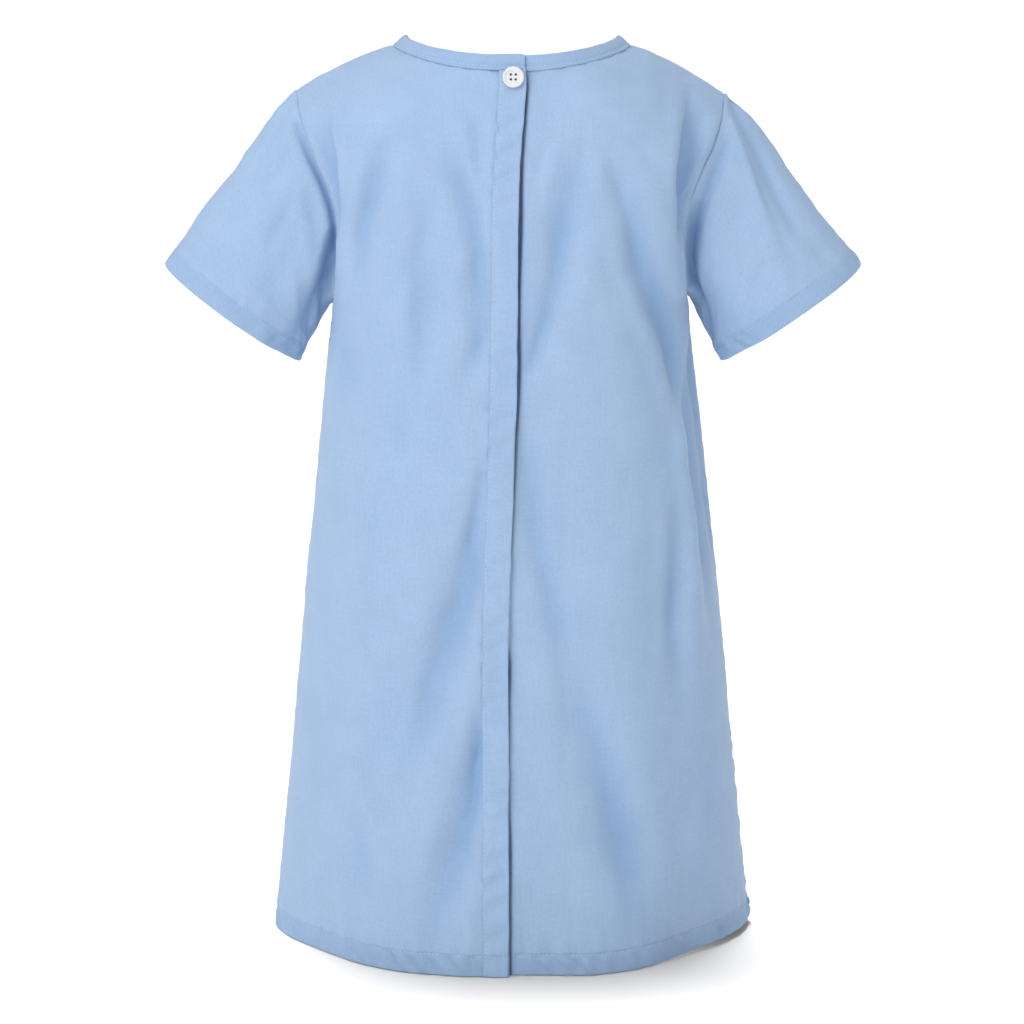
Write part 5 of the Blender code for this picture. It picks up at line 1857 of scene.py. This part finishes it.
# ---- button --------------------------------------------------------------------------------
@dataclass
class Button:
    """The sew-through button under the binding: a dished disc with four holes."""

    name: str = "four_hole_button"
    across: float = 0.8
    drop: float = 15.0
    diameter: float = 13.0
    thickness: float = 2.4
    rim: float = 1.5
    dish: float = 0.55
    soften: float = 0.28
    hole: float = 1.5
    pitch: float = 3.0
    sides: int = 72
    hole_sides: int = 24
    soft_steps: int = 3
    sharp: float = math.radians(25)  # edges that turn by more than this are softened
    smooth_up_to: float = math.radians(35)
    clear: float = LAP + 2 * LAID_GAP + 1.0  # from the right back's face to its underside

    def build(self, plastic: bpy.types.Material, shade: bpy.types.Material) -> bpy.types.Object:
        """Turns the disc, dishes it, drills it and lays it on the placket.

        Args:
            plastic: the button's finish.
            shade: the dark finish on the walls of the holes, which paints shade there.

        Returns:
            The button.
        """
        bpy.ops.object.select_all(action="DESELECT")
        bpy.ops.mesh.primitive_cylinder_add(
            vertices=self.sides,
            radius=self.diameter / 2 * MM,
            depth=self.thickness * MM,
            location=(0, 0, self.thickness / 2 * MM),
        )
        disc = bpy.context.object
        bpy.ops.object.transform_apply(location=True)
        disc.name = disc.data.name = self.name
        self.select_top(disc, self.thickness)
        bpy.ops.object.mode_set(mode="EDIT")
        bpy.ops.mesh.inset(thickness=self.rim * MM)
        bpy.ops.mesh.inset(thickness=self.dish * MM)
        bpy.ops.transform.translate(value=(0, 0, -self.dish * MM))
        bpy.ops.object.mode_set(mode="OBJECT")
        edge = disc.modifiers.new("softened edges", "BEVEL")
        edge.width, edge.segments = self.soften * MM, self.soft_steps
        edge.limit_method, edge.angle_limit = "ANGLE", self.sharp
        bpy.ops.object.modifier_apply(modifier=edge.name)
        disc.data.materials.append(plastic)
        disc.data.materials.append(shade)
        for aside in (-1, 1):
            for up in (-1, 1):
                self.drill(disc, aside * self.pitch / 2 * MM, up * self.pitch / 2 * MM)
        # paints shade on the walls of the holes
        self.paint_hole_shade(disc)
        disc.select_set(True)
        bpy.context.view_layer.objects.active = disc
        bpy.ops.object.shade_smooth_by_angle(angle=self.smooth_up_to)
        self.lay(disc)
        return disc

    def select_top(self, disc: bpy.types.Object, height: float) -> None:
        """Selects the face on top, and nothing else.

        Args:
            disc: the button.
            height: how high its top is, in millimetres.
        """
        for face in disc.data.polygons:
            face.select = face.normal.z > 0.9 and face.center.z > (height - 0.1) * MM
        for part in (*disc.data.vertices, *disc.data.edges):
            part.select = False
        bpy.context.tool_settings.mesh_select_mode = (False, False, True)

    def drill(self, disc: bpy.types.Object, x: float, y: float) -> None:
        """Cuts one hole right through.

        Args:
            disc: the button.
            x: where its middle is, in metres.
            y: the same, up the button.
        """
        bpy.ops.object.select_all(action="DESELECT")
        bpy.ops.mesh.primitive_cylinder_add(
            vertices=self.hole_sides,
            radius=self.hole / 2 * MM,
            depth=4 * self.thickness * MM,
            location=(x, y, 0),
        )
        drill = bpy.context.object
        cut = disc.modifiers.new("hole", "BOOLEAN")
        cut.operation, cut.object, cut.solver = "DIFFERENCE", drill, "EXACT"
        bpy.context.view_layer.objects.active = disc
        bpy.ops.object.modifier_apply(modifier=cut.name)
        bpy.data.objects.remove(drill)

    def paint_hole_shade(self, disc: bpy.types.Object) -> None:
        """Gives the walls of the holes their own dark finish, which paints shade in them."""
        for face in disc.data.polygons:
            near = math.hypot(face.center.x, face.center.y) < (self.pitch + self.hole) * 0.75 * MM
            face.material_index = int(near and abs(face.normal.z) < 0.3)

    def lay(self, disc: bpy.types.Object) -> None:
        """Lays the disc on the placket, square to the slope of the back.

        Args:
            disc: the button.
        """
        above, depth, below = (
            float(read(BACK_MIDDLE, "drop", "depth", self.drop + off)) for off in (-1, 0, 1)
        )
        slope = math.atan2(below - above, 2.0)
        place = Vector((self.across, -depth - self.clear, -self.drop)) * MM
        turn = Matrix.Rotation(math.pi / 2 - slope, 4, "X")
        disc.data.transform(Matrix.Translation(place) @ turn)
        disc.data.update()


# ---- finishes ------------------------------------------------------------------------------
class Shading:
    """A material under construction."""

    def __init__(self, name: str, **sockets: float | tuple) -> None:
        """Starts a material.

        Args:
            name: the material's name.
            **sockets: the Principled shader's own values, with _ for a space in a name.
        """
        self.material = bpy.data.materials.new(name)
        self.material.use_nodes = True
        self.tree = self.material.node_tree
        self.shader = self.tree.nodes["Principled BSDF"]
        for socket, value in sockets.items():
            self.shader.inputs[socket.replace("_", " ")].default_value = value

    def add(self, kind: str, inputs: dict | None = None, **settings: object) -> bpy.types.Node:
        """Adds a node, and sets or links its inputs.

        Args:
            kind: the node's type.
            inputs: values and sockets, by the input's name or place.
            **settings: the node's own settings.

        Returns:
            The node.
        """
        node = self.tree.nodes.new(kind)
        for setting, value in settings.items():
            setattr(node, setting, value)
        for socket, value in (inputs or {}).items():
            if isinstance(value, bpy.types.NodeSocket):
                self.tree.links.new(value, node.inputs[socket])
            else:
                node.inputs[socket].default_value = value
        return node

    def maths(self, operation: str, *values: object) -> bpy.types.NodeSocket:
        """A sum of values and sockets."""
        return self.add("ShaderNodeMath", dict(enumerate(values)), operation=operation).outputs[0]

    def stretched(
        self, place: bpy.types.NodeSocket, across: float, along: float, detail: float = 2.0
    ) -> bpy.types.NodeSocket:
        """Makes noise with long or broad blotches.

        Args:
            place: the place on the cloth.
            across: the blotches' size across the cloth, in millimetres.
            along: their size along it.
            detail: how many finer layers the noise has.

        Returns:
            The noise.
        """
        scale = (1 / (across * MM), 1 / (along * MM), 1.0)
        moved = self.add("ShaderNodeMapping", {"Vector": place, "Scale": scale})
        noise = self.add(
            "ShaderNodeTexNoise",
            {"Vector": moved.outputs[0], "Scale": 1.0, "Detail": detail, "Roughness": 0.55},
            noise_dimensions="2D",
        )
        return noise.outputs[0]

    def noise(self, scale: float, detail: float = 2.0) -> bpy.types.NodeSocket:
        """Noise all through the object, with so many blotches to a metre."""
        place = self.add("ShaderNodeTexCoord").outputs["Object"]
        inputs = {"Vector": place, "Scale": scale, "Detail": detail}
        return self.add("ShaderNodeTexNoise", inputs).outputs[0]

    def blend(self, share: bpy.types.NodeSocket, first: object, second: object) -> object:
        """The first colour where the share is 0, and the second where it is 1."""
        inputs = {0: share, 6: first, 7: second}
        return self.add("ShaderNodeMix", inputs, data_type="RGBA").outputs[2]

    def bump(self, height: bpy.types.NodeSocket, strength: float, deep: float) -> None:
        """Gives the surface a fine relief, so many millimetres deep."""
        inputs = {"Height": height, "Strength": strength, "Distance": deep * MM}
        self.link(self.add("ShaderNodeBump", inputs).outputs[0], "Normal")

    def link(self, output: bpy.types.NodeSocket, socket: str) -> None:
        """Feeds one of the shader's inputs."""
        self.tree.links.new(output, self.shader.inputs[socket])


@dataclass(frozen=True)
class WovenCotton:
    """Plain-woven cotton: a pale chambray with faint streaks of thicker threads, and shade painted
    deep blue in its folds.
    """

    name: str = "pale_blue_cotton"
    pale: Colour = (0.332, 0.463, 0.660, 1.0)
    deep: Colour = (0.275, 0.398, 0.586, 1.0)
    roughness: float = 0.86
    sheen: float = 0.15
    thread: float = 0.42  # millimetres from thread to thread
    relief: float = 0.035  # millimetres
    warp_streak: tuple[float, float] = (0.75, 22.0)  # sizes across and along, in millimetres
    weft_streak: tuple[float, float] = (18.0, 0.75)
    blotch: tuple[float, float] = (26.0, 34.0)
    grain: tuple[float, float] = (1.6, 2.2)
    turned_shade: Colour = (0.155, 0.275, 0.480, 1.0)
    turned_darker: float = 0.18  # how much of that shade a turned hem has
    # painted shade: the deeper blue mixed in deep in folds, and at most how much of it
    painted_shade_colour: Colour = (0.055, 0.195, 0.440, 1.0)
    painted_shade_share: float = 0.34

    def material(self) -> bpy.types.Material:
        """Builds the nodes.

        Returns:
            The material.
        """
        work = Shading(
            self.name,
            Roughness=self.roughness,
            Sheen_Weight=self.sheen,
            Sheen_Roughness=0.45,
            Specular_IOR_Level=0.5,
        )
        place = work.add("ShaderNodeUVMap", uv_map="cloth").outputs[0]
        warp = work.stretched(place, *self.warp_streak)
        weft = work.stretched(place, *self.weft_streak)
        blotch = work.stretched(place, *self.blotch)
        fine = work.stretched(place, *self.grain, detail=3.0)
        threads = work.maths("MULTIPLY_ADD", work.maths("ADD", warp, weft), 0.33, 0.0)
        tone = work.maths("MULTIPLY_ADD", blotch, 0.34, threads)
        tone = work.maths("MULTIPLY_ADD", fine, 0.6, work.maths("SUBTRACT", tone, 0.19))
        ramp = work.add("ShaderNodeMapRange", {0: tone, 1: 0.36, 2: 0.86, 3: 0.0, 4: 1.0})
        colour = work.blend(ramp.outputs[0], self.deep, self.pale)
        # turned cloth looks darker, and deep in folds shade is painted in a deeper blue
        for mark, darker, shade in (
            (LAYERS, self.turned_darker, self.turned_shade),
            (PAINTED_SHADE, self.painted_shade_share, self.painted_shade_colour),
        ):
            marked = work.add("ShaderNodeAttribute", attribute_name=mark).outputs["Fac"]
            colour = work.blend(work.maths("MULTIPLY", marked, darker), colour, shade)
        work.link(colour, "Base Color")
        turn = 2 * math.pi / (self.thread * MM)
        parts = work.add("ShaderNodeSeparateXYZ", {0: place})
        over = work.maths("SINE", work.maths("MULTIPLY", parts.outputs[0], turn))
        under = work.maths("SINE", work.maths("MULTIPLY", parts.outputs[1], turn))
        weave = work.maths("MULTIPLY", over, under)
        height = work.maths("MULTIPLY_ADD", weave, 0.16, work.maths("MULTIPLY", threads, 1.6))
        work.bump(work.maths("MULTIPLY_ADD", fine, 0.5, height), 0.8, self.relief)
        return work.material


@dataclass(frozen=True)
class SewingThread:
    """Spun sewing thread, a little paler than the cloth."""

    name: str = "sewing_thread"
    pale: Colour = (0.52, 0.64, 0.83, 1.0)
    deep: Colour = (0.34, 0.46, 0.67, 1.0)
    ply: float = 0.5  # millimetres
    relief: float = 0.05  # millimetres

    def material(self) -> bpy.types.Material:
        """Builds the nodes.

        Returns:
            The material.
        """
        work = Shading(self.name, Roughness=0.7, Sheen_Weight=0.15, Specular_IOR_Level=0.35)
        plies = work.noise(1 / (self.ply * MM))
        work.link(work.blend(plies, self.deep, self.pale), "Base Color")
        work.bump(plies, 0.6, self.relief)
        return work.material


@dataclass(frozen=True)
class ButtonPlastic:
    """White moulded plastic, faintly clouded, with fine handling marks."""

    name: str = "button_plastic"
    bright: Colour = (0.72, 0.73, 0.74, 1.0)
    dull: Colour = (0.64, 0.65, 0.67, 1.0)
    roughness: tuple[float, float] = (0.28, 0.42)
    relief: float = 0.02  # millimetres

    def material(self) -> bpy.types.Material:
        """Builds the nodes.

        Returns:
            The material.
        """
        work = Shading(self.name, Coat_Weight=0.15, Coat_Roughness=0.2, Subsurface_Weight=0.05)
        work.shader.inputs["Subsurface Radius"].default_value = (0.0012, 0.0012, 0.0012)
        marks = work.noise(2600.0, 4.0)
        work.link(work.blend(work.noise(260.0, 3.0), self.dull, self.bright), "Base Color")
        low, high = self.roughness
        rough = work.add("ShaderNodeMapRange", {0: marks, 1: 0.3, 2: 0.7, 3: low, 4: high})
        work.link(rough.outputs[0], "Roughness")
        work.bump(marks, 0.15, self.relief)
        return work.material


@dataclass(frozen=True)
class PaintedHoleShade:
    """The walls of the button's holes, painted near black as shade."""

    name: str = "button_hole_painted_shade"
    pale: Colour = (0.10, 0.12, 0.15, 1.0)
    deep: Colour = (0.04, 0.05, 0.07, 1.0)

    def material(self) -> bpy.types.Material:
        """Builds the nodes.

        Returns:
            The material.
        """
        work = Shading(self.name, Roughness=0.8)
        work.link(work.blend(work.noise(2500.0), self.deep, self.pale), "Base Color")
        return work.material


@dataclass(frozen=True)
class PaleFloor:
    """Smooth white studio floor."""

    name: str = "studio_floor"
    white: Colour = (0.36, 0.36, 0.36, 1.0)
    off_white: Colour = (0.35, 0.35, 0.35, 1.0)

    def material(self) -> bpy.types.Material:
        """Builds the nodes.

        Returns:
            The material.
        """
        work = Shading(self.name, Roughness=0.9, Specular_IOR_Level=0.1)
        work.link(work.blend(work.noise(8.0), self.white, self.off_white), "Base Color")
        return work.material


# ---- studio --------------------------------------------------------------------------------
@dataclass
class SoftLight:
    """A square area light, in metres and watts."""

    name: str
    place: tuple[float, float, float]
    size: float
    power: float

    def build(self, towards: Vector) -> None:
        """Hangs the light.

        Args:
            towards: the place that it shines on.
        """
        data = bpy.data.lights.new(self.name, "AREA")
        data.shape, data.size, data.energy = "SQUARE", self.size, self.power
        light = bpy.data.objects.new(self.name, data)
        light.location = self.place
        light.rotation_euler = (towards - Vector(self.place)).to_track_quat("-Z", "Y").to_euler()
        bpy.context.scene.collection.objects.link(light)


@dataclass
class Studio:
    """Pale floor, soft lights and the camera at the photograph's angle."""

    middle: tuple[float, float, float] = (0.0, 0.0, -0.3015)
    distance: float = 2.2
    elevation: float = math.radians(12)
    image_width: int = 1024
    metres_a_pixel: float = 0.65e-3
    sensor: float = 36.0
    floor_height: float = -0.5809
    floor_size: float = 24.0
    wash: float = 7.6
    base: float = 0.8  # of the wash, what reaches even the floor inside the gown
    wash_spread: float = math.radians(13)
    wash_from: tuple[float, float, float] = (-0.045, 0.135, 1.0)
    seen: float = 1.0  # brightness of the backdrop that shows
    before: float = 0.08  # brightness of the studio on the camera's side
    behind: float = 0.70  # and on the far side
    lights: tuple[SoftLight, ...] = (
        SoftLight("key_light", (-1.78, -2.12, 1.3), 1.8, 52.5),
        SoftLight("high_light", (-0.63, -1.72, 2.32), 1.8, 20.0),
        SoftLight("right_fill", (2.12, -1.78, 1.3), 1.8, 19.0),
        SoftLight("top_light", (0.1, -0.55, 2.85), 1.8, 21.0),
    )

    def build(self, body: list[bpy.types.Object]) -> None:
        """Makes everything round the gown.

        Args:
            body: the pieces that shade the floor.
        """
        scene = bpy.context.scene
        scene.view_settings.view_transform = "Standard"
        target = Vector(self.middle)
        data = bpy.data.cameras.new("camera")
        data.sensor_width = self.sensor
        data.lens = self.sensor * self.distance / (self.image_width * self.metres_a_pixel)
        data.clip_end = 100.0
        camera = bpy.data.objects.new("camera", data)
        back = Vector((0, -math.cos(self.elevation), math.sin(self.elevation))) * self.distance
        camera.location = target + back
        camera.rotation_euler = (math.pi / 2 - self.elevation, 0, 0)
        scene.collection.objects.link(camera)
        scene.camera = camera
        for light in self.lights:
            light.build(target)
        scene.world = self.surround()
        bpy.ops.object.select_all(action="DESELECT")
        bpy.ops.mesh.primitive_plane_add(size=self.floor_size, location=(0, 0, self.floor_height))
        floor = bpy.context.object
        bpy.ops.object.transform_apply(location=True)
        floor.name = floor.data.name = "studio_floor"
        floor.data.materials.append(PaleFloor().material())
        floor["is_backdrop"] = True
        self.light_floor(floor, body)

    def light_floor(self, floor: bpy.types.Object, body: list[bpy.types.Object]) -> None:
        """Lights the floor alone from overhead, with one lamp that is shaded and one that isn't.

        Args:
            floor: the floor.
            body: the pieces that shade it from the first lamp.
        """
        lit = bpy.data.collections.new("lit_by_floor_wash")
        lit.objects.link(floor)
        for name, power, shading in (
            ("floor_wash", self.wash, body),
            ("floor_base", self.base, [floor]),
        ):
            data = bpy.data.lights.new(name, "SUN")
            data.energy, data.angle = power, self.wash_spread
            wash = bpy.data.objects.new(name, data)
            wash.location = Vector(self.wash_from) * 4.0
            wash.rotation_euler = Vector(self.wash_from).to_track_quat("Z", "Y").to_euler()
            bpy.context.scene.collection.objects.link(wash)
            wash.light_linking.receiver_collection = lit
            blocks = bpy.data.collections.new(f"blocks_{name}")
            for piece in shading:
                blocks.objects.link(piece)
            wash.light_linking.blocker_collection = blocks

    def surround(self) -> bpy.types.World:
        """Makes the studio's walls.

        Returns:
            A world that shows white, and lights the gown mostly from the far side.
        """
        world = bpy.data.worlds.new("studio")
        world.use_nodes = True
        tree = world.node_tree
        wall = tree.nodes["Background"]
        wall.inputs["Color"].default_value = (1.0, 1.0, 1.0, 1.0)
        way = tree.nodes.new("ShaderNodeTexCoord")
        parts = tree.nodes.new("ShaderNodeSeparateXYZ")
        tree.links.new(way.outputs["Generated"], parts.inputs[0])
        depth = tree.nodes.new("ShaderNodeMapRange")
        for socket, value in zip(range(1, 5), (-0.3, 0.3, self.before, self.behind)):
            depth.inputs[socket].default_value = value
        tree.links.new(parts.outputs["Y"], depth.inputs[0])
        path = tree.nodes.new("ShaderNodeLightPath")
        mix = tree.nodes.new("ShaderNodeMix")
        tree.links.new(path.outputs["Is Camera Ray"], mix.inputs[0])
        tree.links.new(depth.outputs[0], mix.inputs[2])
        mix.inputs[3].default_value = self.seen
        tree.links.new(mix.outputs[0], wall.inputs["Strength"])
        return world


# ---- the gown ------------------------------------------------------------------------------
@dataclass
class Gown:
    """All of the gown's pieces, in the order of making."""

    left_back: BackPanel = field(
        default_factory=lambda: BackPanel(name="left_back_panel", side=Side.LEFT)
    )
    right_back: BackPanel = field(
        default_factory=lambda: BackPanel(name="right_back_panel", side=Side.RIGHT)
    )
    front: FrontPanel = field(default_factory=lambda: FrontPanel(name="front_panel"))
    left_sleeve: Sleeve = field(
        default_factory=lambda: Sleeve(
            Side.LEFT, "left_sleeve", LEFT_FLUTES, LEFT_CREASES, LEFT_TUCKS
        )
    )
    right_sleeve: Sleeve = field(
        default_factory=lambda: Sleeve(
            Side.RIGHT, "right_sleeve", RIGHT_FLUTES, RIGHT_CREASES, RIGHT_TUCKS
        )
    )
    binding: NeckBinding = field(default_factory=NeckBinding)
    placket: PlacketStrip = field(default_factory=PlacketStrip)
    button: Button = field(default_factory=Button)

    def shape(self) -> None:
        """Works out the forms of all the cloth."""
        panels = (self.left_back, self.right_back, self.front)
        for piece in (*panels, self.left_sleeve, self.right_sleeve):
            piece.shape()
        sheets = {piece.name: piece.panel.sheet for piece in panels}
        sheets.update({s.name: s.sheet for s in (self.left_sleeve, self.right_sleeve)})
        lines = [
            piece.panel.sheet.points[piece.panel.neckline()]
            for piece in (self.left_back, self.front, self.right_back)
        ]
        self.binding.follow(np.concatenate([lines[0][::-1], lines[1][1:-1], lines[2][::-1]]))
        join_normals(sheets)
        for piece in (*panels, self.left_sleeve, self.right_sleeve):
            piece.relief()
        self.placket.shape()

    def dress(self) -> None:
        cotton = WovenCotton().material()
        thread = SewingThread().material()
        for piece, node in (
            (self.left_back, "back_left"),
            (self.right_back, "back_right"),
            (self.front, "front"),
        ):
            sheet = piece.panel.sheet
            self.declare(sheet.build(piece.name, cotton), node, CLOTH_SLOT)
            width, length = panel_size(piece.panel)
            self.cut(piece.name, (width, length), sheet.cut())
        sleeves = (self.left_sleeve, self.right_sleeve)
        for sleeve, node in zip(sleeves, ("sleeve_left", "sleeve_right")):
            self.declare(sleeve.sheet.build(sleeve.name, cotton), node, CLOTH_SLOT)
            self.cut(sleeve.name, sleeve_size(sleeve), sleeve.sheet.cut())
        self.declare(self.placket.sheet.build(self.placket.name, cotton), "placket", CLOTH_SLOT)
        self.cut(
            self.placket.name, (PLACKET_WIDTH * MM, (LENGTH - self.placket.top) * MM), None
        )
        self.declare(self.binding.build(cotton), "neck_band", CLOTH_SLOT)
        self.cut(self.binding.name, self.binding.shows(), None)
        # the holes' walls get a near black finish as painted shade
        plastic, shade = ButtonPlastic().material(), PaintedHoleShade().material()
        self.declare(self.button.build(plastic, shade), "button", BUTTON_SLOT)
        for stitching in self.stitchings():
            self.declare(stitching.build(thread), None, CLOTH_SLOT)

    def body(self) -> list[bpy.types.Object]:
        """The finished pieces that stand over the floor."""
        pieces = (self.left_back, self.right_back, self.front, self.placket)
        return [bpy.data.objects[piece.name] for piece in pieces]

    def stitchings(self) -> list[Stitching]:
        """Sews every row of stitches that shows.

        Returns:
            The rows on the binding, the placket, the hem and the cuffs.
        """
        binding = Stitching("binding_stitching")
        binding.along(*self.binding.stitch_line())
        placket = Stitching("placket_stitching")
        strip = self.placket.sheet
        column = self.placket.stitch_column()
        placket.along(strip.points[column], strip.normals()[column])
        hem = Stitching("hem_stitching")
        for piece in (self.left_back, self.right_back, self.front):
            sheet = piece.panel.sheet
            row = piece.panel.hem_stitches()
            if piece is not self.front:
                row = row[self.clear_of_placket(sheet.points[row, 0], piece.side)]
            hem.along(sheet.points[row], sheet.normals()[row])
        across = self.placket.hem_row()
        hem.along(strip.points[across], strip.normals()[across])
        cuffs = Stitching("cuff_stitching")
        for sleeve in (self.left_sleeve, self.right_sleeve):
            ring = sleeve.stitch_ring()
            cuffs.along(sleeve.sheet.points[ring], sleeve.sheet.normals()[ring])
        return [binding, placket, hem, cuffs]

    @staticmethod
    def clear_of_placket(x: np.ndarray, side: Side) -> np.ndarray:
        """Which places on the hem the placket doesn't cover."""
        edge = float(placket_edge(LENGTH))
        return x < edge - PLACKET_WIDTH - 0.5 if side is Side.LEFT else x > edge + 1.0

    @staticmethod
    def declare(piece: bpy.types.Object, node: str | None, slot: str) -> None:
        """Attaches a piece to the body that it rides on, and hides the solid that it stands for.

        Args:
            piece: the piece.
            node: the solid that it stands for, or None for stitches.
            slot: the finish; not used.
        """
        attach(piece, BODY)
        if node:
            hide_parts(node)
        LOG.info("%s: %d faces, for %s", piece.name, len(piece.data.polygons), node or "itself")

    @staticmethod
    def cut(name: str, flat: tuple[float, float], area: float | None) -> None:
        """Logs the size of a sheet's cloth that shows.

        Args:
            name: the piece.
            flat: the cloth's width and length, in metres.
            area: of the outer face, in square metres, or None where flat says it; not used.
        """
        LOG.info("%s shows %.0f x %.0f mm", name, flat[0] / MM, flat[1] / MM)


def panel_size(panel: Panel) -> tuple[float, float]:
    """Measures a panel's cloth that shows.

    Args:
        panel: the panel.

    Returns:
        Its width and length, in metres.
    """
    width = sum(float(travelled(g.transpose(1, 0, 2))[-1].max()) for g in panel.grids)
    length = max(float(travelled(g)[-1].max()) for g in panel.grids)
    return width * MM, length * MM


def sleeve_size(sleeve: Sleeve) -> tuple[float, float]:
    """The way round and the length of a sleeve's cloth, in metres."""
    length = float(travelled(sleeve.rings)[-1].max())
    return float(sleeve.girths().sum(axis=1).max()) * MM, length * MM


def main() -> None:
    """Builds the gown, then the studio round it."""
    logging.basicConfig(level=logging.INFO, format="%(name)s: %(message)s")
    gown = Gown()
    gown.shape()
    gown.dress()
    Studio().build(gown.body())
    boxes = {"cad": CAD_BOX, "visual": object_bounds()}
    plain = {name: [[float(v) for v in corner] for corner in box] for name, box in boxes.items()}
    for name, (low, high) in plain.items():
        LOG.info("%s box: %s mm", name, [round((b - a) / MM, 1) for a, b in zip(low, high)])


if __name__ == "__main__":
    main()
